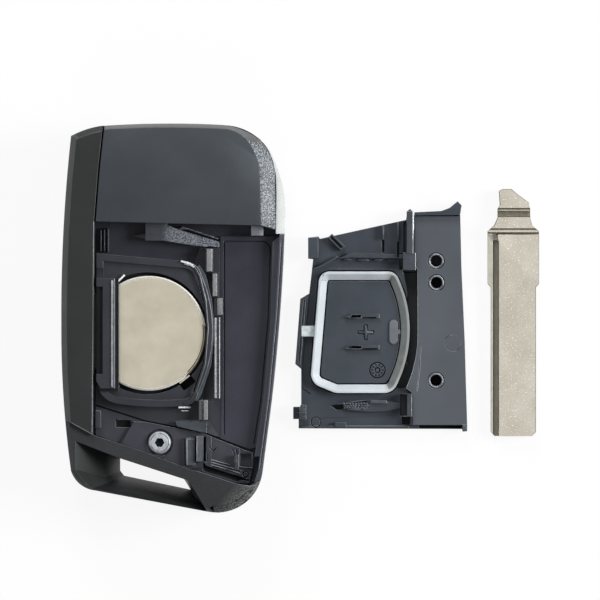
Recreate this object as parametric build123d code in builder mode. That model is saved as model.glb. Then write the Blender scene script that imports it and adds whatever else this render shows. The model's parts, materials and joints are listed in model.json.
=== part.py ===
from build123d import *
import math
import os

os.makedirs("parts", exist_ok=True)

# Flip remote key lying open on a table, buttons down, with its battery cover and its blade beside it.
# Millimetres. X to the right and Y up as seen from above, Z up from the table.

# Layers of the housing, from the table up
front_height = 5.2
front_floor = 1.3
channel_height = 4.3
back_floor = 0.8
tray_floor = 0.4
body_height = 15.4
rim_height = 13.1
panel_height = 0.7

front_wall = 1.4
seat_ledge = 1.2

# Coin cell, 20 mm by 2.5 mm standard size
cell_diameter = 20.0
cell_thickness = 2.5
cell_x = -26.5
cell_y = -2.72
cell_gap = 0.3

# Flip hub
hub_x = -35.2
hub_y = 27.3
hub_radius = 5.0
hub_gap = 0.45
hub_float = 0.1
socket_width = 8.6
socket_reach = 11.0
socket_slot_height = 2.8
pivot_radius = 3.0
pivot_gap = 0.05
boss_radius = 3.4
boss_drop = 1.3
stem_bore = 2.15
channel_width = 9.4

# Release button
release_radius = 3.3
release_gap = 0.08
release_flange = 0.7
release_recess = 0.3
release_flange_height = 0.7
release_stem = 2.0
release_stem_height = 3.6

# Remote buttons
button_width = 13.0
button_depth = 7.4
button_corner = 2.0
button_pitch = 9.4
button_x = -17.3
button_y = -1.5
button_gap = 0.15
button_recess = 0.3
button_flange = 0.7
button_flange_height = 0.6
button_nub = 0.4

# Electronics
membrane_level = 2.8
membrane_sheet = 0.6
board_level = 4.9
board_thickness = 0.8
switch_height = 1.3

# Chassis screw
screw_x = -24.59
screw_y = -21.74
screw_head_radius = 1.95
screw_head_height = 1.2
screw_counterbore = 2.35
screw_sink = 0.5
screw_shank_radius = 1.1

# Key blade
blade_thickness = 2.6
blade_length = 35.83
blade_upper_width = 9.0
blade_lower_width = 7.9
blade_step = 9.2

# Battery cover
cover_skin = 1.4
cover_plate = 2.6
gutter_floor = 0.6
seal_top = 3.0
seal_floor = 2.0

channel_roof = front_height + channel_height
floor_top = channel_roof + back_floor
loop_height = body_height - 0.8
trim_top = body_height - 2.8
cell_bottom = floor_top + tray_floor
cell_top = cell_bottom + cell_thickness
panel_top = floor_top + panel_height
cell_radius = cell_diameter / 2
channel_edge = hub_x + channel_width / 2 + 0.25
board_top = board_level + board_thickness
# Where the side contact stands against the cell
contact_angle = -52.0
contact_reach = cell_radius + 0.75
contact_place = Location(
    (
        cell_x + contact_reach * math.cos(math.radians(contact_angle)),
        cell_y + contact_reach * math.sin(math.radians(contact_angle)),
    ),
    contact_angle,
)
button_centres = [(button_x, button_y + button_pitch * k) for k in (1, 0, -1)]

# Plan of the whole housing
with BuildSketch() as housing_plan:
    with BuildLine():
        ThreePointArc((-39.97, 31.58), (-36.6, 32.95), (-33.0, 33.5))
        ThreePointArc((-33.0, 33.5), (-23.5, 33.81), (-13.41, 33.53))
        ThreePointArc((-13.41, 33.53), (-8.9, 32.3), (-5.39, 28.96))
        ThreePointArc((-5.39, 28.96), (-3.4, 23.9), (-2.72, 17.89))
        Line((-2.72, 17.89), (-2.84, 14.23))
        ThreePointArc((-2.84, 14.23), (-3.65, 0.0), (-5.04, -14.37))
        Line((-5.04, -14.37), (-6.63, -26.66))
        ThreePointArc((-6.63, -26.66), (-9.6, -32.1), (-15.85, -33.81))
        Line((-15.85, -33.81), (-35.73, -30.06))
        ThreePointArc((-35.73, -30.06), (-38.7, -28.7), (-39.98, -26.66))
        ThreePointArc((-39.98, -26.66), (-41.0, -17.6), (-41.66, -1.5))
        ThreePointArc((-41.66, -1.5), (-41.3, 15.0), (-39.97, 31.58))
    make_face()

# Seam of the key-ring loop, from the left side to the right
loop_seam = [
    (-46.0, -14.97),
    (-36.08, -20.44),
    (-27.53, -23.19),
    (-19.34, -26.36),
    (-17.07, -26.92),
    (-11.32, -28.84),
    (-8.88, -29.19),
    (-6.96, -28.25),
    (-2.0, -28.25),
]
with BuildSketch() as loop_region:
    with BuildLine():
        Polyline(*loop_seam, (-2.0, -36.0), (-46.0, -36.0), close=True)
    make_face()

# Seam of the side rail, from the top down
rail_seam = [(-33.98, 36.0), (-35.07, 26.09), (-35.8, 16.67), (-36.08, -20.44)]
with BuildSketch() as rail_region:
    with BuildLine():
        Polyline(*rail_seam, (-36.08, -24.0), (-46.0, -24.0), (-46.0, 36.0), close=True)
    make_face()

# Bright trim outside the head cover
with BuildSketch() as trim_region:
    with BuildLine():
        Polyline((-4.34, 14.6), (-4.25, 21.73), (-4.34, 24.69), (-4.76, 26.96), (-5.3, 28.35))
        ThreePointArc((-5.3, 28.35), (-6.05, 29.75), (-7.0, 30.85))
        Polyline((-7.0, 30.85), (-5.0, 33.0), (0.0, 33.0), (0.0, 14.6), (-4.34, 14.6))
    make_face()

# Blade channel: open to the left side and round the hub to the top left corner
with BuildSketch() as channel_region:
    with BuildLine():
        Polyline(
            (-46.0, -19.6),
            (channel_edge, -19.6),
            (channel_edge, 36.0),
            (-46.0, 36.0),
            close=True,
        )
    make_face()
    with Locations((hub_x, hub_y)):
        Circle(hub_radius + hub_gap)

# Bay of the circuit board, down to the lowest button's flange and its seat
bay_play = 0.5
bay_bottom = button_y - button_pitch - button_depth / 2 - button_flange - seat_ledge - bay_play
with BuildSketch() as bay_region:
    with BuildLine():
        Polyline(
            (-28.9, bay_bottom),
            (-28.9, 31.6),
            (-14.0, 32.0),
            (-9.6, 30.4),
            (-7.0, 27.2),
            (-5.9, 22.0),
            (-5.9, 14.0),
            (-5.7, 2.0),
            (-6.9, -13.5),
            (-7.4, bay_bottom),
            close=True,
        )
    make_face()

# Pocket of the loop's tongue below the bay
tongue_left = -28.2
tongue_right = -17.6
tongue_top = bay_bottom - 1.4
tongue_play = 0.1

# Front shell: button side of the housing
with BuildPart() as front_shell:
    with BuildSketch():
        add(housing_plan.sketch)
        add(loop_region.sketch, mode=Mode.SUBTRACT)
    extrude(amount=front_height)
    chamfer(
        front_shell.edges().group_by(Axis.Z)[0].filter_by(
            lambda e: e.center().Y > -17.0 or e.center().X > -6.9
        ),
        1.0,
    )
    with BuildSketch(Plane.XY.offset(front_floor)):
        add(bay_region.sketch)
        offset(amount=-seat_ledge)
    extrude(amount=front_height, mode=Mode.SUBTRACT)
    with BuildSketch(Plane.XY.offset(membrane_level)):
        add(bay_region.sketch)
    extrude(amount=front_height, mode=Mode.SUBTRACT)
    with Locations((hub_x, hub_y, 0)):
        Cylinder(
            release_radius + release_gap,
            front_height,
            align=(Align.CENTER, Align.CENTER, Align.MIN),
            mode=Mode.SUBTRACT,
        )
    with BuildSketch(Plane.XY.offset(front_floor)):
        with Locations((hub_x, hub_y)):
            Circle(4.7)
    extrude(amount=front_height, mode=Mode.SUBTRACT)
    with BuildSketch():
        with Locations(*button_centres):
            RectangleRounded(
                button_width + 2 * button_gap,
                button_depth + 2 * button_gap,
                button_corner + button_gap,
            )
    extrude(amount=front_floor, mode=Mode.SUBTRACT)
front_shell.part.label = "front_shell"

# Back shell: middle frame with the blade channel, the floor behind the battery and the right rim
with BuildPart() as back_shell:
    with BuildSketch(Plane.XY.offset(front_height)):
        add(housing_plan.sketch)
        add(loop_region.sketch, mode=Mode.SUBTRACT)
        add(trim_region.sketch, mode=Mode.SUBTRACT)
    extrude(amount=floor_top - front_height)
    with BuildSketch(Plane.XY.offset(front_height)):
        add(channel_region.sketch)
        add(bay_region.sketch)
    extrude(amount=channel_height, mode=Mode.SUBTRACT)
    with BuildSketch(Plane.XY.offset(front_height)):
        with BuildLine():
            Polyline(
                (tongue_left - tongue_play, tongue_top + tongue_play),
                (tongue_right + tongue_play, tongue_top + tongue_play),
                (tongue_right + tongue_play, -30.0),
                (tongue_left - tongue_play, -30.0),
                close=True,
            )
        make_face()
    extrude(amount=channel_height, mode=Mode.SUBTRACT)
    # right rim and the raised panel beside the battery
    with BuildSketch(Plane.XY.offset(floor_top)):
        add(housing_plan.sketch)
        add(loop_region.sketch, mode=Mode.SUBTRACT)
        with BuildLine():
            Polyline(
                (-46.0, 40.0),
                (-46.0, -30.0),
                (-8.6, -30.0),
                (-7.5, -26.66),
                (-5.9, -14.37),
                (-4.55, 0.0),
                (-3.75, 14.2),
                (-3.75, 14.55),
                (0.0, 14.55),
                (0.0, 40.0),
                close=True,
            )
        make_face(mode=Mode.SUBTRACT)
    extrude(amount=rim_height - floor_top)
    with BuildSketch(Plane.XY.offset(floor_top)):
        with BuildLine():
            Polyline(
                (-14.1, 14.2),
                (-3.75, 14.2),
                (-4.55, 0.0),
                (-5.9, -14.37),
                (-7.0, -22.4),
                (-8.9, -22.9),
                (-14.1, -21.0),
                close=True,
            )
        make_face()
    extrude(amount=panel_height)
    # inner step of the rim
    with BuildSketch(Plane.XY.offset(floor_top)):
        with BuildLine():
            Polyline(
                (-4.95, 13.2),
                (-3.75, 14.2),
                (-4.55, 0.0),
                (-5.9, -14.37),
                (-7.2, -24.2),
                (-8.1, -24.2),
                (-6.6, -14.37),
                (-5.3, 0.0),
                close=True,
            )
        make_face()
    extrude(amount=rim_height - floor_top - 0.7)
    # two thin ribs at the left end of the cavity under the head cover
    with BuildSketch(Plane.XY.offset(floor_top)):
        with Locations((-34.8, 13.4), (-34.2, 13.4)):
            Rectangle(0.25, 3.8)
    extrude(amount=2.2)
    with Locations((hub_x, hub_y, channel_roof)):
        Cylinder(
            pivot_radius + pivot_gap,
            back_floor * 2,
            align=(Align.CENTER, Align.CENTER, Align.MIN),
            mode=Mode.SUBTRACT,
        )
    with Locations((screw_x, screw_y, channel_roof)):
        Cylinder(
            screw_shank_radius,
            back_floor,
            align=(Align.CENTER, Align.CENTER, Align.MIN),
            mode=Mode.SUBTRACT,
        )
    with Locations((-23.0, cell_y, channel_roof)):
        Box(6.4, 5.0, back_floor, align=(Align.CENTER, Align.CENTER, Align.MIN), mode=Mode.SUBTRACT)
    with BuildSketch(Plane.XY.offset(channel_roof)):
        with Locations(contact_place):
            Rectangle(1.9, 2.6)
    extrude(amount=back_floor, mode=Mode.SUBTRACT)
back_shell.part.label = "back_shell"

# Side rail along the left edge
rail_skin = 1.7
with BuildPart() as side_rail:
    with BuildSketch(Plane.XY.offset(floor_top)):
        add(housing_plan.sketch)
        add(rail_region.sketch, mode=Mode.INTERSECT)
        add(loop_region.sketch, mode=Mode.SUBTRACT)
    extrude(amount=body_height - floor_top)
    chamfer(
        side_rail.edges().group_by(Axis.Z)[-1].filter_by(
            lambda e: e.center().X < -39.0 or e.center().Y > 31.5
        ),
        1.0,
    )
    with BuildSketch(Plane.XY.offset(floor_top)):
        with BuildLine():
            Polyline(
                (-37.3, 31.0),
                (-38.5, 30.4),
                (-40.1, 15.0),
                (-40.3, -1.5),
                (-39.7, -16.7),
                (-37.3, -17.9),
                (-37.1, 16.0),
                (-36.5, 26.0),
                close=True,
            )
        make_face()
    extrude(amount=body_height - rail_skin - floor_top, mode=Mode.SUBTRACT)
    with BuildSketch(Plane.XY.offset(cell_bottom)):
        with Locations((cell_x, cell_y)):
            Circle(cell_radius + cell_gap)
    extrude(amount=cell_thickness + 0.1, mode=Mode.SUBTRACT)
side_rail.part.label = "side_rail"

# Head cover: upper part of the back, flat face with a bevel that widens at the right
head_bevel = 1.4
head_skin = 1.5
head_edge_level = body_height - head_bevel
head_room = body_height - head_skin - floor_top
arm_height = 0.72 * head_room
with BuildPart() as head_cover:
    with BuildSketch(Plane.XY.offset(floor_top)):
        with BuildLine() as head_line:
            Polyline((-4.38, 15.3), (-7.06, 15.97), (-35.8, 16.67), (-35.07, 26.09), (-34.27, 33.3))
            ThreePointArc((-34.27, 33.3), (-23.5, 33.75), (-13.41, 33.5))
            ThreePointArc((-13.41, 33.5), (-9.9, 32.5), (-7.0, 30.75))
            ThreePointArc((-7.0, 30.75), (-5.4, 28.3), (-4.5, 25.4))
            Line((-4.5, 25.4), (-4.38, 15.3))
        make_face()
    extrude(amount=head_edge_level - floor_top)
    with BuildSketch(Plane.XY.offset(head_edge_level)):
        add(head_line.line)
        make_face()
    with BuildSketch(Plane.XY.offset(body_height)):
        with BuildLine():
            Polyline((-6.9, 16.03), (-8.0, 16.06), (-35.75, 16.72), (-35.02, 26.09), (-34.3, 32.7))
            ThreePointArc((-34.3, 32.7), (-23.5, 33.1), (-13.0, 32.8))
            ThreePointArc((-13.0, 32.8), (-10.6, 31.9), (-8.9, 30.2))
            ThreePointArc((-8.9, 30.2), (-7.6, 27.6), (-7.15, 25.0))
            Line((-7.15, 25.0), (-6.9, 16.03))
        make_face()
    loft()
    with BuildSketch(Plane.XY.offset(floor_top)):
        with BuildLine():
            Polyline(
                (-34.2, 18.0),
                (-33.7, 26.0),
                (-33.0, 31.9),
                (-13.6, 32.1),
                (-9.2, 30.4),
                (-6.4, 26.4),
                (-6.1, 17.6),
                (-22.0, 18.0),
                close=True,
            )
        make_face()
    extrude(amount=body_height - head_skin - floor_top, mode=Mode.SUBTRACT)
    with BuildSketch(Plane.XY.offset(floor_top)):
        with BuildLine():
            Polyline((-33.9, 15.0), (-33.9, 18.5), (-12.0, 18.5), (-12.0, 15.0), close=True)
        make_face()
    extrude(amount=arm_height + 0.3, mode=Mode.SUBTRACT)
    # small tab below the right end of the cover
    with Locations((-7.6, 15.2, panel_top + 0.2)):
        Box(2.2, 1.9, 2.2, align=(Align.CENTER, Align.CENTER, Align.MIN))
head_cover.part.label = "head_cover"

# Bright trim round the right side of the head
with BuildPart() as bright_trim:
    with BuildSketch(Plane.XY.offset(front_height)):
        add(housing_plan.sketch)
        add(trim_region.sketch, mode=Mode.INTERSECT)
    extrude(amount=trim_top - front_height)
bright_trim.part.label = "bright_trim"


def inset_sides(points, insets):
    # each side of a clockwise outline moved inwards by its own amount, all slopes kept
    moved = []
    for (ax, ay), (bx, by), inset in zip(points, points[1:] + points[:1], insets):
        side = math.hypot(bx - ax, by - ay)
        step_x = (by - ay) / side * inset
        step_y = (ax - bx) / side * inset
        moved.append((ax + step_x, ay + step_y, bx - ax, by - ay))
    corners = []
    for (ax, ay, adx, ady), (bx, by, bdx, bdy) in zip(moved[-1:] + moved[:-1], moved):
        along = ((bx - ax) * bdy - (by - ay) * bdx) / (adx * bdy - ady * bdx)
        corners.append((ax + adx * along, ay + ady * along))
    return corners


# Key-ring loop: a wide scoop on the back, steep walls down to the slot, a small scoop on the front
scoop_mouth = [
    (-39.2, -21.45),
    (-31.3, -24.5),
    (-19.6, -28.3),
    (-16.0, -34.1),
    (-36.6, -29.77),
    (-39.2, -26.4),
]
scoop_foot = inset_sides(scoop_mouth, (0.0, 0.0, 0.3, 1.7, 3.2, 5.2))
loop_slot = inset_sides(scoop_foot, (0.1, 0.1, 0.4, 1.55, 2.6, 2.4))
front_mouth = inset_sides(loop_slot, (-0.9, -0.9, -0.9, -0.9, -0.9, -0.9))
scoop_depth = 5.2
slot_rise = 1.6
loop_edge = 0.7
with BuildPart() as ring_loop:
    with BuildSketch():
        add(housing_plan.sketch)
        add(loop_region.sketch, mode=Mode.INTERSECT)
    extrude(amount=loop_height)
    loop_rounds = ring_loop.edges().filter_by(
        lambda e: e.center().Y < -29.5 or e.center().X < -39.5
    )
    chamfer(loop_rounds.group_by(Axis.Z)[0], loop_edge)
    loop_rounds = ring_loop.edges().filter_by(
        lambda e: e.center().Y < -29.5 or e.center().X < -39.5
    )
    chamfer(loop_rounds.group_by(Axis.Z)[-1], loop_edge)
    for upper_level, upper_line, lower_level, lower_line in (
        (loop_height, scoop_mouth, loop_height - scoop_depth, scoop_foot),
        (loop_height - scoop_depth, scoop_foot, slot_rise, loop_slot),
        (slot_rise, loop_slot, 0.0, front_mouth),
    ):
        for level, line in ((upper_level, upper_line), (lower_level, lower_line)):
            with BuildSketch(Plane.XY.offset(level)):
                with BuildLine():
                    Polyline(*line, close=True)
                make_face()
        loft(ruled=True, mode=Mode.SUBTRACT)
    with BuildSketch(Plane.XY.offset(front_height + tongue_play)):
        with BuildLine():
            Polyline(
                (tongue_left, tongue_top),
                (tongue_right, tongue_top),
                (tongue_right, -27.0),
                (-19.34, -26.36),
                (-27.53, -23.19),
                (tongue_left, -23.0),
                close=True,
            )
        make_face()
    extrude(amount=channel_height - tongue_play)
    with Locations((screw_x, screw_y, front_height)):
        Cylinder(
            screw_shank_radius,
            channel_height,
            align=(Align.CENTER, Align.CENTER, Align.MIN),
            mode=Mode.SUBTRACT,
        )
ring_loop.part.label = "ring_loop"

# Battery tray: raised D-shaped rim round the well of the coin cell
tray_rim = cell_top + 0.35
tray_deck = tray_rim - 0.6
tray_lip = 0.4
tray_edge = 1.2
slot_left = (-35.15, -2.2)
with BuildSketch() as tray_plan:
    with BuildLine():
        Line((-35.6, -11.0), (-35.6, 11.2))
        ThreePointArc((-35.6, 11.2), (-28.0, 10.55), (-20.28, 9.85))
        ThreePointArc((-20.28, 9.85), (-18.4, 9.15), (-17.31, 7.4))
        ThreePointArc((-17.31, 7.4), (-15.35, -1.9), (-17.94, -13.1))
        ThreePointArc((-17.94, -13.1), (-18.7, -14.7), (-20.2, -15.36))
        ThreePointArc((-20.2, -15.36), (-26.5, -15.5), (-32.0, -14.95))
        ThreePointArc((-32.0, -14.95), (-34.5, -13.6), (-35.6, -11.0))
    make_face()
with BuildPart() as battery_tray:
    with BuildSketch(Plane.XY.offset(floor_top)):
        add(tray_plan.sketch)
    extrude(amount=tray_rim - floor_top)
    with BuildSketch(Plane.XY.offset(tray_deck)):
        add(tray_plan.sketch)
        offset(amount=-tray_edge)
    extrude(amount=2.0, mode=Mode.SUBTRACT)
    with BuildSketch(Plane.XY.offset(cell_bottom)):
        with Locations((cell_x, cell_y)):
            Circle(cell_radius + cell_gap)
        with Locations((-38.0, cell_y)):
            Rectangle(3.0, 30.0, mode=Mode.SUBTRACT)
    extrude(amount=4.0, mode=Mode.SUBTRACT)
    # plate over the left side of the cell, with its ridge and its shallow slot
    with BuildSketch(Plane.XY.offset(cell_top + 0.05)):
        with BuildLine():
            Polyline((-35.6, 8.4), (-31.7, 8.4), (-31.7, -12.9), (-34.9, -12.9), (-35.6, -11.0), close=True)
        make_face()
    extrude(amount=tray_lip)
    with BuildSketch(Plane.XY.offset(cell_top + 0.05)):
        with BuildLine():
            Polyline((-35.6, 8.4), (-32.4, 8.4), (-32.4, -12.3), (-34.9, -12.3), (-35.6, -11.0), close=True)
        make_face()
        with Locations(slot_left):
            Rectangle(1.3, 15.2, mode=Mode.SUBTRACT)
    extrude(amount=tray_lip + 0.35)
    with Locations((-23.0, cell_y, floor_top)):
        Box(6.4, 5.0, tray_floor, align=(Align.CENTER, Align.CENTER, Align.MIN), mode=Mode.SUBTRACT)
    with BuildSketch(Plane.XY.offset(floor_top)):
        with Locations(contact_place):
            Rectangle(1.9, 2.6)
    extrude(amount=5.0, mode=Mode.SUBTRACT)
battery_tray.part.label = "battery_tray"

# Coin cell
with BuildPart() as coin_cell:
    with Locations((cell_x, cell_y, cell_bottom)):
        Cylinder(cell_radius, cell_thickness, align=(Align.CENTER, Align.CENTER, Align.MIN))
    chamfer(coin_cell.edges().group_by(Axis.Z)[-1], 0.25)
coin_cell.part.label = "coin_cell"

# Contact under the cell, standing on the circuit board
with BuildPart() as contact_minus:
    with BuildSketch(Plane.XZ.offset(-cell_y)):
        with BuildLine():
            Polyline(
                (-25.6, board_top),
                (-22.4, board_top),
                (-20.9, cell_bottom - 0.9),
                (-22.6, cell_bottom),
                (-25.4, cell_bottom),
                (-25.4, cell_bottom - 0.25),
                (-22.7, cell_bottom - 0.25),
                (-21.25, cell_bottom - 0.9),
                (-22.6, board_top + 0.3),
                (-25.6, board_top + 0.3),
                close=True,
            )
        make_face()
    extrude(amount=1.3, both=True)
contact_minus.part.label = "contact_minus"

# Contact against the side of the cell
with BuildPart() as contact_plus:
    with BuildSketch(Plane.XY.offset(board_top)):
        with Locations(contact_place):
            with Locations((-0.6, 0)):
                Rectangle(0.3, 2.2)
    extrude(amount=cell_top - 0.4 - board_top)
contact_plus.part.label = "contact_plus"

# Chassis plate beside and below the tray, with its ribs and clips
chassis_height = 1.1
with BuildPart() as chassis:
    with BuildSketch(Plane.XY.offset(floor_top)):
        with BuildLine():
            Polyline(
                (-17.6, 12.2),
                (-14.1, 12.2),
                (-14.1, -20.85),
                (-16.9, -19.9),
                (-27.0, -17.9),
                (-35.75, -15.1),
                (-35.75, -12.0),
                (-30.0, -10.0),
                (-20.0, 5.0),
                close=True,
            )
        make_face()
        add(tray_plan.sketch, mode=Mode.SUBTRACT)
    extrude(amount=chassis_height)
    # wedge that rises to the right, below the tray
    with BuildSketch(Plane.XZ.offset(17.9)):
        with BuildLine():
            Polyline(
                (-23.0, floor_top + chassis_height - 0.2),
                (-17.0, floor_top + chassis_height - 0.2),
                (-17.0, floor_top + chassis_height + 0.7),
                close=True,
            )
        make_face()
    extrude(amount=1.0)
    with BuildSketch(Plane.XY.offset(floor_top)):
        with Locations((-16.0, 10.0)):
            Rectangle(1.4, 4.2)
        with Locations((-14.9, 5.7)):
            Rectangle(1.1, 4.3)
        with Locations((-14.6, 1.9)):
            Rectangle(1.0, 3.1)
        with Locations((-14.65, -7.0)):
            Rectangle(1.0, 14.2)
        with Locations((-16.9, -16.0)):
            Rectangle(1.4, 3.4)
    extrude(amount=2.4)
chassis.part.label = "chassis"

# Lower plate held by the chassis screw: low at the left, raised round the screw
lower_plate_top = 11.7
with BuildPart() as lower_plate:
    with BuildSketch(Plane.XY.offset(floor_top)):
        with BuildLine():
            Polyline(
                (-35.75, -15.35),
                (-27.0, -18.15),
                (-16.9, -20.15),
                (-9.82, -23.05),
                (-8.7, -23.4),
                (-8.1, -24.2),
                (-8.3, -25.8),
                (-9.0, -28.9),
                (-11.32, -28.84),
                (-17.07, -26.92),
                (-19.34, -26.36),
                (-27.53, -23.19),
                (-35.75, -20.5),
                close=True,
            )
        make_face()
    extrude(amount=lower_plate_top - floor_top - 0.6)
    with BuildSketch(Plane.XY.offset(floor_top)):
        with BuildLine():
            Polyline(
                (-31.3, -21.95),
                (-29.1, -18.1),
                (-27.0, -18.15),
                (-16.9, -20.15),
                (-15.6, -20.68),
                (-15.6, -26.0),
                (-19.34, -26.36),
                (-27.53, -23.19),
                close=True,
            )
        make_face()
    extrude(amount=lower_plate_top - floor_top)
    with BuildSketch(Plane.XY.offset(floor_top)):
        with Locations((-35.3, -17.7)):
            Rectangle(0.9, 3.0)
    extrude(amount=2.6)
    with BuildSketch(Plane.XY.offset(floor_top)):
        with Locations((-19.2, -23.2)):
            Rectangle(1.7, 4.6)
        with Locations((-17.5, -22.9)):
            Rectangle(1.2, 4.2)
        with Locations((-11.2, -25.2)):
            Rectangle(0.7, 2.6)
    extrude(amount=2.1)
    # wedge slot at the lower right, square pockets at the right and the left
    with BuildSketch(Plane.XY.offset(floor_top + 0.2)):
        with BuildLine():
            Polyline((-16.9, -26.1), (-9.4, -28.1), (-11.2, -28.5), (-16.8, -26.75), close=True)
        make_face()
        with Locations((-9.6, -24.9)):
            Rectangle(1.9, 2.4)
        with Locations((-30.9, -18.5)):
            Rectangle(2.6, 1.2)
    extrude(amount=4.0, mode=Mode.SUBTRACT)
    with Locations((screw_x, screw_y, lower_plate_top - screw_sink)):
        Cylinder(
            screw_counterbore,
            2.0,
            align=(Align.CENTER, Align.CENTER, Align.MIN),
            mode=Mode.SUBTRACT,
        )
    with Locations((screw_x, screw_y, floor_top)):
        Cylinder(
            screw_shank_radius,
            2.0,
            align=(Align.CENTER, Align.CENTER, Align.MIN),
            mode=Mode.SUBTRACT,
        )
lower_plate.part.label = "lower_plate"

# Chassis screw, pan head with a six-lobe recess
with BuildPart() as chassis_screw:
    with Locations((screw_x, screw_y, lower_plate_top - screw_sink)):
        Cylinder(
            screw_head_radius, screw_head_height, align=(Align.CENTER, Align.CENTER, Align.MIN)
        )
    chamfer(chassis_screw.edges().group_by(Axis.Z)[-1], 0.25)
    with Locations((screw_x, screw_y, lower_plate_top - screw_sink)):
        Cylinder(screw_shank_radius, 5.2, align=(Align.CENTER, Align.CENTER, Align.MAX))
    with BuildSketch(Plane.XY.offset(lower_plate_top)):
        with Locations((screw_x, screw_y)):
            RegularPolygon(0.85, 6)
    extrude(amount=2.0, mode=Mode.SUBTRACT)
chassis_screw.part.label = "chassis_screw"

# Stop arm under the head cover: a block with a pin and a wedge that rises to the left
with BuildPart() as stop_arm:
    with BuildSketch(Plane.XY.offset(floor_top)):
        with BuildLine():
            Polyline(
                (-27.05, 17.9),
                (-27.05, 13.4),
                (-23.7, 13.4),
                (-18.55, 12.55),
                (-14.2, 12.25),
                (-14.2, 13.2),
                (-20.6, 15.1),
                (-23.2, 16.1),
                (-23.2, 17.9),
                close=True,
            )
        make_face()
    extrude(amount=arm_height)
    with BuildSketch(Plane.XZ.offset(-18.0)):
        with BuildLine():
            Polyline(
                (-23.7, floor_top + arm_height),
                (-14.0, floor_top + arm_height),
                (-14.0, floor_top + arm_height / 2),
                close=True,
            )
        make_face()
    extrude(amount=6.0, mode=Mode.SUBTRACT)
    # thin bar above the wedge
    with BuildSketch(Plane.XY.offset(floor_top)):
        with BuildLine():
            Polyline(
                (-21.5, 15.3), (-20.6, 15.9), (-14.4, 13.85), (-14.4, 13.6), (-19.9, 15.4), close=True
            )
        make_face()
        with BuildLine():
            Polyline((-29.1, 14.25), (-26.9, 13.6), (-26.9, 14.7), close=True)
        make_face()
    extrude(amount=0.46 * arm_height)
stop_arm.part.label = "stop_arm"

# Keypad membrane with a raised edge up to the circuit board
with BuildPart() as keypad_membrane:
    with BuildSketch(Plane.XY.offset(membrane_level)):
        add(bay_region.sketch)
        with Locations((-17.0, 30.0)):
            Rectangle(40.0, 20.0, mode=Mode.SUBTRACT)
    extrude(amount=board_level - membrane_level)
    with BuildSketch(Plane.XY.offset(membrane_level + membrane_sheet)):
        with Locations((-17.5, 1.4)):
            RectangleRounded(17.6, 33.6, 2.0)
    extrude(amount=5.0, mode=Mode.SUBTRACT)
keypad_membrane.part.label = "keypad_membrane"

# Circuit board
with BuildPart() as circuit_board:
    with BuildSketch(Plane.XY.offset(board_level)):
        add(bay_region.sketch)
        with Locations((-17.0, 30.0)):
            Rectangle(40.0, 20.0, mode=Mode.SUBTRACT)
    extrude(amount=board_thickness)
circuit_board.part.label = "circuit_board"

# One tact switch over each button, all in one node
with BuildPart() as tact_switches:
    with Locations(*[(x, y, board_level) for x, y in button_centres]):
        Box(4.2, 4.2, switch_height - 0.3, align=(Align.CENTER, Align.CENTER, Align.MAX))
        Box(1.8, 1.8, switch_height, align=(Align.CENTER, Align.CENTER, Align.MAX))
tact_switches.part.label = "tact_switches"

# Controller chip, radio crystal and transponder coil on the board
with BuildPart() as controller_chip:
    with Locations((-12.6, -8.0, board_top)):
        Box(6.0, 6.0, 0.9, align=(Align.CENTER, Align.CENTER, Align.MIN))
    chamfer(controller_chip.edges().group_by(Axis.Z)[-1], 0.15)
controller_chip.part.label = "controller_chip"

with BuildPart() as radio_crystal:
    with Locations((-12.6, 2.4, board_top)):
        Box(5.0, 3.2, 1.2, align=(Align.CENTER, Align.CENTER, Align.MIN))
    fillet(radio_crystal.edges().filter_by(Axis.Z), 0.8)
radio_crystal.part.label = "radio_crystal"

with BuildPart() as transponder_coil:
    with Locations((-19.0, 14.0, board_top)):
        Box(12.0, 3.4, 2.6, align=(Align.CENTER, Align.CENTER, Align.MIN))
        with Locations((-5.2, 0, 0), (5.2, 0, 0)):
            Box(1.6, 4.4, 3.0, align=(Align.CENTER, Align.CENTER, Align.MIN))
transponder_coil.part.label = "transponder_coil"

# Flip hub with the blade socket, folded down along the channel
hub_bottom = front_height + hub_float
hub_top = channel_roof - hub_float
slot_middle = (hub_bottom + hub_top) / 2
with BuildPart() as flip_hub:
    with BuildSketch(Plane.XY.offset(hub_bottom)):
        with Locations((hub_x, hub_y)):
            Circle(hub_radius)
        with Locations((hub_x, hub_y)):
            Rectangle(socket_width, socket_reach, align=(Align.CENTER, Align.MAX))
    extrude(amount=hub_top - hub_bottom)
    with Locations((hub_x, hub_y, hub_top)):
        Cylinder(
            pivot_radius, back_floor - hub_float, align=(Align.CENTER, Align.CENTER, Align.MIN)
        )
    with Locations((hub_x, hub_y, hub_bottom)):
        Cylinder(boss_radius, boss_drop, align=(Align.CENTER, Align.CENTER, Align.MAX))
    with Locations((hub_x, hub_y, hub_bottom - boss_drop)):
        Cylinder(
            stem_bore,
            boss_drop + 1.6,
            align=(Align.CENTER, Align.CENTER, Align.MIN),
            mode=Mode.SUBTRACT,
        )
    with Locations((hub_x, hub_y - socket_reach, slot_middle)):
        Box(
            6.1,
            7.6,
            socket_slot_height,
            align=(Align.CENTER, Align.MIN, Align.CENTER),
            mode=Mode.SUBTRACT,
        )
    chamfer(flip_hub.edges().filter_by(Axis.Z).group_by(Axis.Y)[0], 0.5)
flip_hub.part.label = "flip_hub"

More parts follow.
